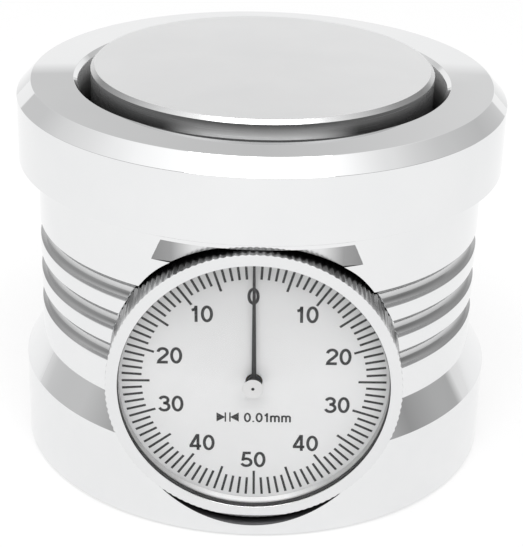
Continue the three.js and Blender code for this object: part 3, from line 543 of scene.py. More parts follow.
def add_camera():
    data = bpy.data.cameras.new("camera")
    data.sensor_fit = "AUTO"
    data.sensor_width = SENSOR
    data.lens = FOCAL_PIXELS * SENSOR / max(IMAGE_WIDTH, IMAGE_HEIGHT)
    data.clip_start = 0.01
    data.clip_end = 50.0
    camera = bpy.data.objects.new("camera", data)
    SCENE.collection.objects.link(camera)
    forward = (CAMERA_AIM - CAMERA_AT).normalized()
    right = forward.cross(Vector((0, 0, 1))).normalized()
    up = right.cross(forward)
    c, s = math.cos(CAMERA_ROLL), math.sin(CAMERA_ROLL)
    right, up = c * right + s * up, c * up - s * right
    turn = Matrix((right, up, -forward)).transposed().to_4x4()
    camera.matrix_world = Matrix.Translation(CAMERA_AT) @ turn
    SCENE.camera = camera


add_camera()


# Housing

WAIST_RELIEF_TOP = 36.96
WAIST_RELIEF_LOW = 34.3
RELIEF_BACK_TOP = 25.5
RELIEF_BACK_LOW = 25.39
POCKET_LIP_BACK = 26.216
POCKET_LIP = 17.43
POCKET_SIDE_FIT = 0.4
GROOVE_EASE = 0.16
CRISP_EASE = 0.02
WELL_EDGE = 0.5
RELIEF_CROWN = 33.0
FAR_FRONT = 40.0
# How high on the pocket's side, as a share of its radius, it is polished. Above and below that the
# wall is near-black, painted shade for the gap round the bezel
POLISHED_RISE = (-0.75, 0.5)
# Between these shares of the radius, up or down from its middle, the pocket widens to its full size
WIDENING_RISE = (0.55, 0.8)
# The waist above the grooves, which has the same finish as the shell
PLAIN_WAIST = 5
HOUSING_FILLET_STEPS = 6
HOUSING_CRISP = math.radians(19)
# Radii and ends of the bores for the bush, its flange, the guide pin and the two kinds of screws
BUSH_BORE, BUSH_SEAT = 6.52, 8.52
BORE_START, BORE_END = 30.0, 42.0
BUSH_SEAT_DEPTH = 1.5
PIN_BORE, PIN_BORE_END, PIN_REACH = 1.22, 36.04, 8.92
CLAMP_BORE, CLAMP_BORE_END = 1.55, 3.12
COVER_SCREW_BORE, COVER_SCREW_BORE_END = 1.25, 7.5
# The opening through which the drive arm meets the rack
WINDOW = [(0.1, -3.8), (4.0, -3.8), (4.0, 4.2), (0.1, 4.2)]
WINDOW_BACK, WINDOW_FRONT = 7.95, 15.35


def groove(bottom):
    """A round-bottomed groove with a crisp upper edge and an eased lower one."""
    steps = 16
    half = GROOVE_WIDTH / 2
    radius = (half**2 + GROOVE_DEPTH**2) / (2 * GROOVE_DEPTH)
    opening = math.asin(half / radius)
    middle = WAIST_RADIUS - GROOVE_DEPTH + radius
    outline = []
    for k in range(steps + 1):
        angle = opening * (2 * k / steps - 1)
        height = bottom + half + radius * math.sin(angle)
        outline.append((middle - radius * math.cos(angle), height))
    first, last = outline[0], outline[-1]
    return [(*first, GROOVE_EASE)] + outline[2:-1] + [(*last, CRISP_EASE)]


def housing_profile():
    corners = [
        (0, 0),
        (BASE_RADIUS - 0.4, 0, 0.15),
        (BASE_RADIUS, 0.4, 0.3),
        (BASE_RADIUS, BASE_HEIGHT, 0.25),
        (WAIST_RADIUS, CONE_TOP, 0.25),
    ]
    for k in range(3):
        corners += groove(LOWEST_GROOVE + k * GROOVE_PITCH)
    corners += [
        (WAIST_RADIUS, FLANGE_UNDERSIDE, 0.15),
        (FLANGE_RADIUS, FLANGE_UNDERSIDE, 0.06),
        (FLANGE_RADIUS, RING_TOP - CHAMFER_HEIGHT, 0.1),
        (FLANGE_RADIUS - CHAMFER_WIDTH, RING_TOP, 0.1),
        (WELL_RADIUS, RING_TOP, 0.04),
        (WELL_RADIUS - WELL_EDGE, RING_TOP - WELL_EDGE, 0.2),
        (WELL_RADIUS - WELL_EDGE, WELL_FLOOR, 0.2),
        (0, WELL_FLOOR),
    ]
    return filleted(corners, HOUSING_FILLET_STEPS)


def relief_tool():
    """What the cutter over the bezel takes: a gently crowned back that leans out over its foot."""
    columns = 32
    half = WAIST_RELIEF_HALF
    lean = (RELIEF_BACK_TOP - RELIEF_BACK_LOW) / (WAIST_RELIEF_TOP - WAIST_RELIEF_LOW)
    points = []
    for height in (WAIST_RELIEF_LOW, WAIST_RELIEF_TOP):
        back = RELIEF_BACK_TOP + lean * (height - WAIST_RELIEF_TOP)
        for k in range(columns + 1):
            x = half * (2 * k / columns - 1)
            crown = (half**2 - x * x) / (2 * RELIEF_CROWN)
            points.append((x, -(back + crown), height))
        points += [(half, -FAR_FRONT, height), (-half, -FAR_FRONT, height)]
    return object_from("relief_tool", points, skin(2, columns + 3))


COVER_SCREW_CIRCLE = 13.2
COVER_RADIUS = 15.4
CLAMP_SCREW_REACH = 18.197


def cover_screw_places():
    """Three places, a third of a turn apart, the first a sixth of a turn from the right."""
    return [on_circle(COVER_SCREW_CIRCLE, k, 6) for k in (1, 3, 5)]


def eased(value, low, high):
    share = min(1.0, max(0.0, (value - low) / (high - low)))
    return share * share * (3 - 2 * share)


def pocket_tool():
    """The dial's pocket, closer to the bezel at its sides and cut short under the lip above."""
    steps = FINE_STEPS
    points = []
    lip = POCKET_LIP_BACK
    rows = ((POCKET_STEP, False), (lip, False), (lip, True), (FAR_FRONT, True))
    for reach, short in rows:
        for k in range(steps):
            rise = abs(math.sin(2 * math.pi * k / steps))
            closer = POCKET_SIDE_FIT * (1 - eased(rise, *WIDENING_RISE))
            x, y = on_circle(POCKET_RADIUS - closer, k, steps)
            points.append((x, min(y, POCKET_LIP) if short else y, reach))
    # Away from the lip the two middle rows are one, with no face between them
    faces = [
        face for face in skin(len(rows), steps)
        if points[face[0]] != points[face[3]] or points[face[1]] != points[face[2]]
    ]
    return object_from("tool", points, faces, dial=True, welded=True)


def add_housing():
    body = finish_of(turned("housing_shell", housing_profile()), POLISH, BORED_AND_SHADE, TURNED, WELL)
    for face in body.data.polygons:
        radius = math.hypot(face.center.x, face.center.y) / MM
        height = face.center.z / MM
        above = (height - LOWEST_GROOVE) % GROOVE_PITCH
        grooved = LOWEST_GROOVE < height < FLANGE_UNDERSIDE - PLAIN_WAIST and above < GROOVE_WIDTH
        if grooved and radius < WAIST_RADIUS - 0.01:
            face.material_index = 2
        if radius < WELL_RADIUS and WELL_FLOOR - 0.01 < height < RING_TOP - WELL_EDGE:
            face.material_index = 3
    pocket = pocket_tool()
    tools = [
        pocket,
        rod(CASE_POCKET_RADIUS, POCKET_FLOOR, POCKET_STEP + 1, dial=True),
        prism("tool", WINDOW, WINDOW_BACK, WINDOW_FRONT, dial=True),
        rod(COVER_RADIUS + 0.1, -1, 2),
        rod(CHAMBER_RADIUS, 1, CHAMBER_TOP, MIDDLE_STEPS),
        rod(BUSH_BORE, BORE_START, BORE_END, MIDDLE_STEPS),
        rod(BUSH_SEAT, WELL_FLOOR - BUSH_SEAT_DEPTH, BORE_END, MIDDLE_STEPS),
        moved(rod(PIN_BORE, BORE_START, PIN_BORE_END, SMALL_STEPS), 0, PIN_REACH),
        moved(rod(CLAMP_BORE, -1, CLAMP_BORE_END, SMALL_STEPS), 0, -CLAMP_SCREW_REACH),
    ]
    for place in cover_screw_places():
        tools.append(moved(rod(COVER_SCREW_BORE, 1, COVER_SCREW_BORE_END, SMALL_STEPS), *place))
    for tool in tools:
        finish_of(tool, BORED_AND_SHADE)
    finish_of(pocket, BORED_AND_SHADE, POLISH)
    for face in pocket.data.polygons:
        rise = (face.center.z / MM - DIAL_HEIGHT) / POCKET_RADIUS
        if abs(face.normal.y) > 0.9 or POLISHED_RISE[0] < rise < POLISHED_RISE[1]:
            face.material_index = 1
    cut(body, tools + [finish_of(relief_tool(), RELIEF)])
    finely_shaded(body, "up", HOUSING_CRISP)
    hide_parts("housing")
    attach(body, "housing")


add_housing()


# Anvil

STEM_SEAT_TOP = 47.6
STEM_SEAT_RADIUS = 3.065
ANVIL_EDGE = 0.5
# Reach forward, as shares of the anvil's radius, from where its side's painted shade turns to the
# front's painted highlight and shade
FRONT_TONE_START, FRONT_TONE_END = 0.84, 0.985


def anvil_side_painted_shade(tree, parts):
    """Painted shade and reflection: on the sides dull and darker downwards; in front dark just
    under the edge and bright lower down.
    """
    side = along("Z", STEM_SEAT_TOP, SETTING_HEIGHT, [
        (0.0, 0.06), (0.2, 0.1), (0.45, 0.15), (0.79, 0.15), (0.82, 1.0),
    ])
    front = along("Z", STEM_SEAT_TOP, SETTING_HEIGHT, [
        (0.0, 1.0), (0.15, 0.9), (0.3, 0.62), (0.45, 0.4),
        (0.6, 0.22), (0.7, 0.14), (0.79, 0.12), (0.82, 1.0),
    ])
    ends = {
        "From Min": -FRONT_TONE_START * ANVIL_RADIUS * MM,
        "From Max": -FRONT_TONE_END * ANVIL_RADIUS * MM,
    }
    toward = map_range(tree, parts["Y"], ends, interpolation_type="SMOOTHSTEP")
    return mixed(tree, toward, side(tree, parts), front(tree, parts))


ANVIL_SIDE = painted_light_and_shade(
    surface("anvil_side", 0.35, ((0.86, 0.863, 0.866), (0.9, 0.902, 0.905)),
            (0.22, 0.3), TURNED_LINES),
    anvil_side_painted_shade,
)


def add_anvil():
    profile = filleted([
        (0, STEM_SEAT_TOP),
        (STEM_SEAT_RADIUS, STEM_SEAT_TOP),
        (STEM_SEAT_RADIUS, ANVIL_UNDERSIDE),
        (ANVIL_RADIUS, ANVIL_UNDERSIDE, 0.2),
        (ANVIL_RADIUS, SETTING_HEIGHT - ANVIL_EDGE, 0.08),
        (ANVIL_RADIUS - ANVIL_EDGE, SETTING_HEIGHT, 0.12),
        (0, SETTING_HEIGHT),
    ])
    piece = finish_of(turned("anvil_disc", profile), SATIN_TOP, EDGE_SATIN_AND_SHADE, ANVIL_SIDE)
    for face in piece.data.polygons:
        under = SETTING_HEIGHT - face.center.z / MM
        face.material_index = 0 if under < 0.01 else 1 if under < ANVIL_EDGE - 0.01 else 2
    finely_shaded(piece, "up")
    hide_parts("anvil")
    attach(piece, "anvil")


add_anvil()


# Bezel with its knurled edge

KNURL_TEETH = 132
KNURL_DEPTH = 0.1
# Depth share at each step across a tooth: a narrow flat tip, straight flanks and a narrow root
TOOTH_SHARES = [0.0, 0.0, 0.5, 1.0, 1.0, 0.5]
BACK_BEVEL = 0.25
EDGE_ROUND = 0.07
EDGE_STEPS = 4
FACE_RADIUS = 16.9


def add_bezel():
    steps = KNURL_TEETH * len(TOOTH_SHARES)
    tooth = [BEZEL_RADIUS - KNURL_DEPTH * share for share in TOOTH_SHARES] * KNURL_TEETH
    rows = [([BEZEL_RADIUS - KNURL_DEPTH - 0.05] * steps, BEZEL_BACK)]
    rows += [(tooth, reach) for reach in (BEZEL_BACK + BACK_BEVEL, RIM_REACH - EDGE_ROUND)]
    for k in range(1, EDGE_STEPS + 1):
        angle = math.pi / 2 * k / EDGE_STEPS
        limit = BEZEL_RADIUS - EDGE_ROUND * (1 - math.cos(angle))
        reach = RIM_REACH - EDGE_ROUND * (1 - math.sin(angle))
        rows.append(([min(radius, limit) for radius in tooth], reach))
    inner = filleted([
        (FACE_RADIUS, RIM_REACH),
        (GLASS_RADIUS, RIM_REACH, 0.06),
        (GLASS_RADIUS, LIP_BACK, 0.03),
        (BEZEL_BORE, LIP_BACK, 0.05),
        (BEZEL_BORE, BEZEL_BACK),
    ])
    rows += [([radius] * steps, reach) for radius, reach in inner]
    points = []
    for row, reach in rows:
        points += [(*on_circle(radius, k, steps), reach) for k, radius in enumerate(row)]
    piece = object_from("bezel_ring", points, skin(len(rows), steps, ring=True), dial=True)
    finish_of(piece, CHROME, KNURL)
    for face in piece.data.polygons:
        if face.center.y > -(RIM_REACH - EDGE_ROUND) * MM and abs(face.normal.y) < 0.5:
            outward = math.hypot(face.center.x, face.center.z - DIAL_HEIGHT * MM)
            face.material_index = 1 if outward > (BEZEL_BORE + 0.2) * MM else 0
    finely_shaded(piece)
    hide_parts("bezel")
    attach(piece, "bezel")


add_bezel()


# Dial, its print, and what lies over it

DIAL_TURN = math.radians(1.2)
CRYSTAL_STEP = 28.35
SEAL_BACK = 28.4
SEAL_TOP = 28.85
SEAL_LIP = 29.13
PRINT_BACK = DIAL_FACE - 0.002
PRINT_FRONT = DIAL_FACE + 0.014
TICK_COUNT = 100
TICK_OUTER = 15.6
SHORT_TICK = 2.35
LONG_TICK = 3.3
TICK_WIDTH = 0.29
NUMBER_HEIGHT = 2.08
NUMBER_STROKE = 0.355
NUMBER_STRETCH = 1.17
# Middles of the numbers on the right half, for 0 to 50
NUMBER_PLACES = [(-0.08, 11.1), (6.1, 8.8), (9.9, 3.35), (9.85, -3.1), (6.2, -8.4), (-0.08, -10.71)]
SIGN_SPACING = 0.08
UNIT_PLACE = (1.63, -4.9)
UNIT_HEIGHT = 1.22
UNIT_STROKE = 0.23
# The two arrowheads: the side each widens to and its middle, their reach, and their halves and bars
ARROWS = ((-1, -3.4), (1, -2.85))
ARROW_HEIGHT = -4.86
ARROW_REACH = 1.05
ARROW_HALF = 0.62
ARROW_BAR_HALF = 0.63
ARROW_STROKE = 0.17
# How far a stroke may narrow at a bend
BEND_LIMIT = 0.45


def swing(middle, radius, start, stop, steps=12, squeeze=1.0):
    """Points of an arc, with angles in degrees, squeezed sideways."""
    angles = [math.radians(start + (stop - start) * k / steps) for k in range(steps + 1)]
    x, y = middle
    return [(x + radius * squeeze * math.cos(a), y + radius * math.sin(a)) for a in angles]


# Strokes of each sign as centre lines, for a height of one
GLYPHS = {
    "0": (0.58, [swing((0.29, 0.5), 0.435, 90, 450, 32, 0.5)]),
    "1": (0.46, [
        [(0.3, 0.0), (0.3, 1.0)],
        [(0.09, 0.735), (0.2, 0.76), (0.27, 0.83), (0.295, 0.94)],
    ]),
    "2": (0.58, [
        swing((0.295, 0.7), 0.235, 175, -28, 12, 0.95)
        + [(0.36, 0.44), (0.16, 0.24), (0.095, 0.13), (0.08, 0.065), (0.53, 0.065)]
    ]),
    "3": (0.58, [
        swing((0.28, 0.735), 0.2, 165, -90, 14) + [(0.24, 0.535)],
        swing((0.285, 0.295), 0.235, 90, -165, 16),
    ]),
    "4": (0.58, [
        [(0.41, 0.0), (0.41, 0.97), (0.36, 0.97), (0.06, 0.31), (0.06, 0.265), (0.56, 0.265)],
    ]),
    "5": (0.58, [
        [(0.5, 0.935), (0.17, 0.935), (0.115, 0.5)]
        + swing((0.275, 0.31), 0.24, 128, -160, 18)
    ]),
    ".": (0.26, [[(0.13, 0.0), (0.13, 0.13)]]),
    "m": (0.86, [
        [(0.1, 0.0), (0.1, 0.72)],
        [(0.1, 0.5)] + swing((0.265, 0.5), 0.165, 160, 0, 8) + [(0.43, 0.0)],
        [(0.43, 0.5)] + swing((0.595, 0.5), 0.165, 160, 0, 8) + [(0.76, 0.0)],
    ]),
}


def ribbon(line, width, points, faces):
    """A stroke of even width along a centre line, as a raised bar with a flat top."""
    closed = (Vector(line[0]) - Vector(line[-1])).length < 1e-6
    path = [Vector(p) for p in (line[:-1] if closed else line)]
    count = len(path)
    sides = []
    for k, here in enumerate(path):
        ways = []
        if closed or k > 0:
            ways.append((here - path[k - 1]).normalized())
        if closed or k < count - 1:
            ways.append((path[(k + 1) % count] - here).normalized())
        way = sum(ways, Vector((0.0, 0.0))).normalized()
        across = Vector((-way.y, way.x))
        reach = width / 2
        if len(ways) == 2:
            reach /= max(BEND_LIMIT, across.dot(Vector((-ways[0].y, ways[0].x))))
        sides.append((here + across * reach, here - across * reach))
    start = len(points)
    for left, right in sides:
        points += [(*left, PRINT_BACK), (*right, PRINT_BACK)]
        points += [(*right, PRINT_FRONT), (*left, PRINT_FRONT)]
    pairs = [(k, k + 1) for k in range(count - 1)] + ([(count - 1, 0)] if closed else [])
    for k, n in pairs:
        a, b = start + 4 * k, start + 4 * n
        for side in range(4):
            other = (side + 1) % 4
            faces.append([a + side, b + side, b + other, a + other])
    if not closed:
        faces.append([start + side for side in range(4)])
        last = start + 4 * (count - 1)
        faces.append([last + side for side in range(4)])


def solid_mark(outline, points, faces):
    faces += skin(2, len(outline), start=len(points))
    points += [(x, y, reach) for reach in (PRINT_BACK, PRINT_FRONT) for x, y in outline]


def write(text, middle, height, stroke, points, faces):
    """Writes generic numbers, upright and centred on a point of the dial."""
    widths = [GLYPHS[sign][0] * NUMBER_STRETCH for sign in text]
    total = sum(widths) + SIGN_SPACING * (len(text) - 1)
    left = middle[0] - total * height / 2
    foot = middle[1] - height / 2
    for sign, width in zip(text, widths):
        for line in GLYPHS[sign][1]:
            path = [(left + x * NUMBER_STRETCH * height, foot + y * height) for x, y in line]
            ribbon(path, stroke, points, faces)
        left += (width + SIGN_SPACING) * height


def dial_print():
    points, faces = [], []
    for k in range(TICK_COUNT):
        angle = 2 * math.pi * k / TICK_COUNT
        inner = TICK_OUTER - (LONG_TICK if k % 5 == 0 else SHORT_TICK)
        way = Vector((math.sin(angle), math.cos(angle)))
        ribbon([tuple(way * inner), tuple(way * TICK_OUTER)], TICK_WIDTH, points, faces)
    for k, (x, y) in enumerate(NUMBER_PLACES):
        for side in (1, -1) if 0 < k < 5 else (1,):
            write(str(10 * k), (side * x, y), NUMBER_HEIGHT, NUMBER_STROKE, points, faces)
    write("0.01mm", UNIT_PLACE, UNIT_HEIGHT, UNIT_STROKE, points, faces)
    for side, middle in ARROWS:
        base = middle + side * ARROW_REACH
        bar = [(middle, ARROW_HEIGHT - ARROW_BAR_HALF), (middle, ARROW_HEIGHT + ARROW_BAR_HALF)]
        ribbon(bar, ARROW_STROKE, points, faces)
        corners = [(base, ARROW_HEIGHT + ARROW_HALF), (base, ARROW_HEIGHT - ARROW_HALF)]
        solid_mark([(middle, ARROW_HEIGHT), *corners], points, faces)
    turn = Matrix.Rotation(DIAL_TURN, 2)
    return [(*(turn @ Vector(point[:2])), point[2]) for point in points], faces


def add_dial():
    plate = turned("dial_face", filleted([
        (1.0, DIAL_BACK),
        (STACK_RADIUS, DIAL_BACK, 0.04),
        (STACK_RADIUS, DIAL_FACE, 0.04),
        (1.0, DIAL_FACE, 0.04),
    ]), dial=True, closed=True)
    finish_of(plate, DIAL_WHITE)
    finely_shaded(plate, "dial")
    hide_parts("dial_plate")
    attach(plate, "bezel")

    points, faces = dial_print()
    marks = finish_of(object_from("dial_marks", points, faces, dial=True), BLACK_INK)
    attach(marks, "bezel")

    ring = turned("dial_spacer", filleted([
        (GLASS_RADIUS, DIAL_FACE + 0.1, 0.04),
        (STACK_RADIUS, DIAL_FACE + 0.1),
        (STACK_RADIUS, CRYSTAL_BACK - 0.1),
        (GLASS_RADIUS, CRYSTAL_BACK - 0.1, 0.04),
    ]), dial=True, closed=True)
    finish_of(ring, INNER_WALL)
    finely_shaded(ring, "dial")
    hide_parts("dial_ring")
    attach(ring, "bezel")

    gasket = turned("seal_ring", filleted([
        (GLASS_RADIUS - 0.04, SEAL_BACK),
        (STACK_RADIUS, SEAL_BACK, 0.04),
        (STACK_RADIUS, SEAL_TOP, 0.04),
        (GLASS_RADIUS - 0.005, SEAL_TOP),
        (GLASS_RADIUS - 0.005, SEAL_LIP),
        (GLASS_RADIUS - 0.04, SEAL_LIP),
    ]), dial=True, closed=True)
    finish_of(gasket, RUBBER)
    finely_shaded(gasket, "dial")
    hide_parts("crystal_gasket")
    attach(gasket, "bezel")

    cover = turned("crystal_disc", filleted([
        (0, CRYSTAL_BACK),
        (STACK_RADIUS, CRYSTAL_BACK, 0.03),
        (STACK_RADIUS, CRYSTAL_STEP, 0.03),
        (GLASS_RADIUS - 0.05, CRYSTAL_STEP, 0.02),
        (GLASS_RADIUS - 0.05, SEAL_TOP),
        (GLASS_RADIUS - 0.05, CRYSTAL_FRONT, 0.01),
        (0, CRYSTAL_FRONT),
    ]), dial=True)
    finish_of(cover, CRYSTAL, CLEAR_EDGE, RUBBER)
    for face in cover.data.polygons:
        reach = -face.center.y / MM
        if abs(face.normal.y) < 0.5:
            face.material_index = 2 if reach > SEAL_TOP else 1
    finely_shaded(cover, "dial")
    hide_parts("crystal")
    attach(cover, "bezel")


add_dial()

GATE_AT = (-0.1, 0.15)
GATE_RADIUS = 1.22


def add_gate_mark():
    """The moulding gate's mark in the middle of the cover: a frosted round with a small dimple."""
    rim = turned("gate_mark", [
        (0.2, CRYSTAL_FRONT - 0.03),
        (GATE_RADIUS, CRYSTAL_FRONT - 0.03),
        (GATE_RADIUS, CRYSTAL_FRONT + 0.01),
        (GATE_RADIUS - 0.06, CRYSTAL_FRONT + 0.03),
        (0.24, CRYSTAL_FRONT + 0.03),
        (0.2, CRYSTAL_FRONT + 0.02),
    ], SMALL_STEPS, dial=True, closed=True)
    finish_of(rim, MOULD_MARK)
    finely_shaded(rim)
    dot = turned("gate_dimple", [
        (0, CRYSTAL_FRONT - 0.02),
        (0.19, CRYSTAL_FRONT - 0.02),
        (0.19, CRYSTAL_FRONT + 0.005),
        (0, CRYSTAL_FRONT + 0.005),
    ], SMALL_STEPS, dial=True)
    finish_of(dot, BLACK_PAINT)
    finely_shaded(dot)
    for piece, slot in ((rim, "clear_crystal"), (dot, "pointer_black")):
        moved(piece, GATE_AT[0], 0, GATE_AT[1])
        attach(piece, "bezel")


add_gate_mark()


# Pointer and its hub

POINTER_BACK = 27.4
POINTER_FRONT = 27.6
POINTER_LENGTH = 14.9
POINTER_EYE = 0.95
POINTER_ROOT_HALF, POINTER_TIP_HALF = 0.28, 0.15
HUB_RADIUS = 0.8
HUB_BACK, HUB_SHOULDER, HUB_FRONT = 26.5, 27.78, 27.9
HUB_BORE, HUB_BORE_END = 0.4, 27.55


def add_pointer():
    opening = math.degrees(math.asin(POINTER_ROOT_HALF / POINTER_EYE))
    outer = swing((0, 0), POINTER_EYE, 90 + opening, 450 - opening, 40)
    outer += [(POINTER_TIP_HALF, POINTER_LENGTH), (-POINTER_TIP_HALF, POINTER_LENGTH)]
    turn = Matrix.Rotation(DIAL_TURN, 2)
    outer = [tuple(turn @ Vector(p)) for p in outer]
    piece = prism("pointer_blade", outer, POINTER_BACK, POINTER_FRONT, dial=True)
    hole = rod(HUB_RADIUS + 0.025, POINTER_BACK - 1, POINTER_FRONT + 1, SMALL_STEPS, dial=True)
    cut(finish_of(piece, BLACK_PAINT), [finish_of(hole, BLACK_PAINT)])
    edge = piece.modifiers.new("edge", "BEVEL")
    edge.width = 0.03 * MM
    edge.segments = 2
    edge.limit_method = "ANGLE"
    baked(piece)
    finely_shaded(piece)
    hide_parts("pointer")
    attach(piece, "center_arbor")

    hub = turned("pointer_boss", filleted([
        (0, HUB_BORE_END),
        (HUB_BORE, HUB_BORE_END),
        (HUB_BORE, HUB_BACK),
        (HUB_RADIUS, HUB_BACK, 0.05),
        (HUB_RADIUS, HUB_SHOULDER, 0.1),
        (HUB_RADIUS / 2, HUB_FRONT, 0.2),
        (0, HUB_FRONT),
    ]), SMALL_STEPS, dial=True)
    finish_of(hub, BLACK_PAINT)
    finely_shaded(hub, "dial")
    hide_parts("pointer_hub")
    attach(hub, "center_arbor")


add_pointer()


# Underside: cover, its screws and the screw that clamps the case

COVER_THICKNESS = 1.9
SPIGOT_RADIUS, SPIGOT_TOP = 4.32, 6.0
COVER_SOCKET, CLAMP_SOCKET = 0.9, 0.85


def hexagon(radius):
    return [on_circle(radius, k, 6) for k in range(6)]


def add_underside():
    plate = turned("cover_plate", filleted([
        (0, 0),
        (COVER_RADIUS, 0, 0.25),
        (COVER_RADIUS, COVER_THICKNESS, 0.1),
        (SPIGOT_RADIUS, COVER_THICKNESS, 0.2),
        (SPIGOT_RADIUS, SPIGOT_TOP, 0.4),
        (0, SPIGOT_TOP),
    ]))
    finish_of(plate, GROUND)
    seat = filleted([(0, -1), (2.1, -1), (2.1, 0.1), (1.3, 1.2), (1.3, 7), (0, 7)])
    holes = [moved(turned("tool", seat, SMALL_STEPS), *place) for place in cover_screw_places()]
    cut(plate, [finish_of(hole, GROUND) for hole in holes])
    finely_shaded(plate, "up")
    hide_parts("base_cover")
    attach(plate, "housing")

    for k, place in enumerate(cover_screw_places()):
        screw = turned(f"countersunk_{k + 1}", filleted([
            (0, 0.1),
            (2.0, 0.1, 0.08),
            (1.2, 1.2),
            (1.2, 6.5, 0.3),
            (0, 6.5),
        ]), SMALL_STEPS)
        finish_of(screw, BLACK_STEEL)
        cut(screw, [finish_of(prism("tool", hexagon(COVER_SOCKET), -0.9, 0.9), BLACK_STEEL)])
        moved(screw, *place)
        finely_shaded(screw)
        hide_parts(f"cover_screw_{k + 1}")
        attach(screw, "housing")

    clamp = turned("grub_screw", filleted([
        (0, 0.5),
        (1.5, 0.5, 0.15),
        (1.5, 2.7, 0.15),
        (0, 2.7),
    ]), SMALL_STEPS)
    finish_of(clamp, BLACK_STEEL)
    cut(clamp, [finish_of(prism("tool", hexagon(CLAMP_SOCKET), -0.5, 1.6), BLACK_STEEL)])
    moved(clamp, 0, -CLAMP_SCREW_REACH)
    finely_shaded(clamp)
    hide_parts("case_clamp_screw")
    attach(clamp, "housing")


add_underside()


# Return spring, wound smooth. The real one shortens as the anvil goes down; this one keeps its
# length.

SPRING_WIRE = 0.49
SPRING_REACH = 0.54 * CHAMBER_RADIUS
SPRING_TURNS = 6
SPRING_END_RISE = 2.0


def add_return_spring():
    coil = NODES["return_spring"]
    heights = [(coil.matrix_world @ Vector(corner)).z / MM for corner in coil.bound_box]
    low, high = min(heights), max(heights)
    bottom, top = low + 0.5, high - 0.5
    steps, sides = 32 * SPRING_TURNS, 12
    end_turn = 1 / SPRING_TURNS
    end_rise = SPRING_END_RISE / (top - bottom)
    points = []
    for k in range(steps + 1):
        share = k / steps
        if share < end_turn:
            rise = end_rise * share / end_turn
        elif share > 1 - end_turn:
            rise = 1 - end_rise * (1 - share) / end_turn
        else:
            rise = end_rise + (1 - 2 * end_rise) * (share - end_turn) / (1 - 2 * end_turn)
        for side in range(sides):
            out, up = on_circle(SPRING_WIRE, side, sides)
            place = on_circle(SPRING_REACH + out, k * SPRING_TURNS, steps)
            points.append((*place, bottom + (top - bottom) * rise + up))
    piece = finish_of(object_from("wound_spring", points, skin(steps + 1, sides)), SPRING)
    finely_shaded(piece)
    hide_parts("return_spring")
    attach(piece, "housing")
    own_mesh(piece)


add_return_spring()


# Inner pieces keep the solid model's shapes and take a finish each

INNER_FINISHES = (
    (BRONZE, ["guide_bush"]),
    (GROUND, ["movement_case"]),
    (BLACK_STEEL, ["stop_ring", "arm_clamp_screw"]),
    (SPRING, ["hairspring", "bezel_snap_ring"]),
    (BRASS, [
        "movement_back_plate", "movement_front_plate", "pillar_1", "pillar_2", "pillar_3",
        "drive_wheel", "take_up_wheel", "hairspring_collet", "hairspring_stud",
    ]),
    (TOOL_STEEL, [
        "guide_pin", "stem", "drive_arm", "rack", "rack_screw_1", "rack_screw_2",
        "movement_screw_1", "movement_screw_2", "movement_screw_3",
        "rack_pinion", "center_pinion", "take_up_arbor",
    ]),
)

for material, names in INNER_FINISHES:
    for name in names:
        for slot in NODES[name].material_slots:
            slot.material = material


# Floor, world and lamp

FLOOR_RADIUS = 6.0
FLOOR_GLOW = 0.6
FLOOR_COLOUR = 0.95


def add_floor():
    floor = turned("floor", [(0.0, 0.0), (FLOOR_RADIUS / MM, 0.0)], MIDDLE_STEPS)
    material = bpy.data.materials.new("pale_floor")
    material.use_nodes = True
    tree = material.node_tree
    tree.nodes.clear()
    colour = (FLOOR_COLOUR, FLOOR_COLOUR, FLOOR_COLOUR, 1)
    matt = node(tree, "ShaderNodeBsdfDiffuse", {"Color": colour}).outputs["BSDF"]
    glow = node(tree, "ShaderNodeEmission", {"Strength": 1.0}).outputs["Emission"]
    path = node(tree, "ShaderNodeLightPath").outputs
    seen = maths(tree, "ADD", path["Is Camera Ray"], path["Is Glossy Ray"], use_clamp=True)
    seen = maths(tree, "ADD", seen, path["Is Transmission Ray"], use_clamp=True)
    inputs = {"Fac": maths(tree, "MULTIPLY", seen, FLOOR_GLOW), 1: matt, 2: glow}
    mix = node(tree, "ShaderNodeMixShader", inputs).outputs["Shader"]
    node(tree, "ShaderNodeOutputMaterial", {"Surface": mix})
    finish_of(floor, material)


add_floor()


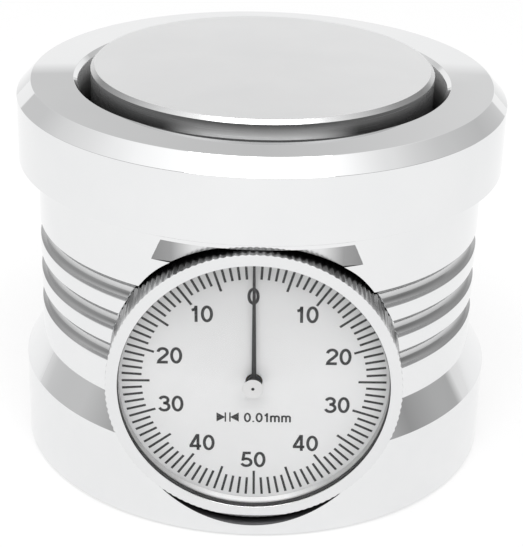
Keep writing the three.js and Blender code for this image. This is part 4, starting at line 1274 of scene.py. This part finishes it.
# The studio round the object. Each row has a heading in degrees, 0 in front and 90 on the right,
# then rising heights in degrees and the brightness at each. A pale screen stands behind, and
# softboxes hang over the front.
BEHIND = (
    (0, 17.8, 17.88, 26, 36, 48, 62, 74),
    (1.012, 1.012, 0.607, 0.618, 0.703, 0.905, 1.118, 0.479),
)
FRONT_SIDE = (
    (0, 10, 22, 36, 46, 53, 60, 69, 78),
    (0.373, 0.234, 0.181, 0.266, 0.639, 1.171, 1.385, 1.171, 0.532),
)
STUDIO = [
    (-180, *BEHIND),
    (-172, (0, 17.82, 17.9, 26, 36, 48, 62, 74),
     (1.012, 1.012, 0.692, 0.692, 0.745, 0.937, 1.118, 0.479)),
    (-142, (0, 12, 17, 20, 36, 48, 62, 74),
     (1.012, 1.012, 0.959, 0.703, 0.788, 0.98, 1.118, 0.479)),
    (-141, (0, 4, 10, 20, 36, 48, 62, 74),
     (0.767, 0.703, 0.671, 0.714, 0.852, 1.012, 1.118, 0.479)),
    (-115, (0, 3, 10, 20, 34, 48, 62, 74),
     (0.831, 0.682, 0.618, 0.66, 0.895, 1.065, 1.15, 0.479)),
    (-90, (0, 10, 18, 26, 38, 48, 60, 74),
     (0.639, 0.639, 0.618, 0.586, 0.873, 1.108, 1.193, 0.479)),
    (-60, (0, 10, 22, 36, 44, 50, 60, 69, 78),
     (0.532, 0.479, 0.319, 0.319, 0.745, 1.171, 1.278, 1.171, 0.532)),
    (-22, *FRONT_SIDE),
    (0, (0, 10, 22, 36, 46, 53, 60, 69, 78),
     (0.532, 0.479, 0.447, 0.426, 0.745, 1.225, 1.438, 1.171, 0.532)),
    (22, *FRONT_SIDE),
    (60, (0, 10, 22, 36, 44, 52, 60, 69, 78),
     (0.532, 0.532, 0.554, 0.479, 0.639, 1.065, 1.278, 1.171, 0.532)),
    (80, (0, 10, 18, 26, 38, 48, 62, 74),
     (0.426, 0.373, 0.351, 0.383, 0.586, 0.905, 1.118, 0.479)),
    (98, (0, 10, 20, 28, 38, 48, 62, 74),
     (0.532, 0.479, 0.49, 0.532, 0.692, 0.895, 1.086, 0.479)),
    (111, (0, 6, 14, 20, 36, 48, 62, 74),
     (0.532, 0.469, 0.511, 0.554, 0.692, 0.895, 1.086, 0.479)),
    (116, (0, 4, 12, 20, 36, 48, 62, 74),
     (0.916, 0.831, 0.639, 0.575, 0.682, 0.895, 1.086, 0.479)),
    (145.2, (0, 4, 10, 20, 36, 48, 62, 74),
     (0.809, 0.745, 0.66, 0.607, 0.682, 0.905, 1.086, 0.479)),
    (146.2, (0, 12, 17, 20, 36, 48, 62, 74),
     (1.012, 1.012, 0.959, 0.745, 0.745, 0.916, 1.097, 0.479)),
    (172, (0, 17.48, 17.56, 26, 36, 48, 62, 74),
     (1.012, 1.012, 0.777, 0.745, 0.767, 0.916, 1.108, 0.479)),
    (180, *BEHIND),
]


def add_world():
    """The studio's brightness at each heading and height, mixed from one heading to the next."""
    world = bpy.data.worlds.new("studio")
    SCENE.world = world
    world.use_nodes = True
    tree = world.node_tree
    tree.nodes.clear()
    place = node(tree, "ShaderNodeTexCoord").outputs["Generated"]
    parts = node(tree, "ShaderNodeSeparateXYZ", {"Vector": place}).outputs
    height = maths(tree, "MULTIPLY", maths(tree, "ARCSINE", parts["Z"]), 2 / math.pi)
    front = maths(tree, "MULTIPLY", parts["Y"], -1.0)
    heading = maths(tree, "ARCTAN2", parts["X"], front)

    light, before = None, None
    for angle, heights, levels in STUDIO:
        stops = [(degrees / 90, level) for degrees, level in zip(heights, levels)]
        column = ramp(tree, height, stops)
        if light is None:
            light = column
        else:
            ends = {"From Min": math.radians(before), "From Max": math.radians(angle)}
            light = mixed(tree, map_range(tree, heading, ends), light, column)
        before = angle

    seen = node(tree, "ShaderNodeLightPath").outputs["Is Camera Ray"]
    inputs = {"Color": mixed(tree, seen, light, (1, 1, 1, 1)), "Strength": 1.0}
    shown = node(tree, "ShaderNodeBackground", inputs).outputs["Background"]
    node(tree, "ShaderNodeOutputWorld", {"Surface": shown})


add_world()

LAMP_RADIANCE = 3.5
LAMP_WIDTH = 0.7
LAMP_DEPTH = 0.5
LAMP_DISTANCE = 0.8
LAMP_AIM = Vector((0, 0, 0.03))
LAMP_ELEVATION = math.radians(55)


def add_lamp():
    data = bpy.data.lights.new("softbox", "AREA")
    data.shape = "RECTANGLE"
    data.size = LAMP_WIDTH
    data.size_y = LAMP_DEPTH
    data.energy = LAMP_RADIANCE * math.pi * LAMP_WIDTH * LAMP_DEPTH
    lamp = bpy.data.objects.new("softbox", data)
    SCENE.collection.objects.link(lamp)
    way = Vector((0, -math.cos(LAMP_ELEVATION), math.sin(LAMP_ELEVATION)))
    lamp.location = way * LAMP_DISTANCE + LAMP_AIM
    lamp.rotation_euler = way.to_track_quat("Z", "Y").to_euler()


add_lamp()

SCENE.view_settings.view_transform = "Standard"
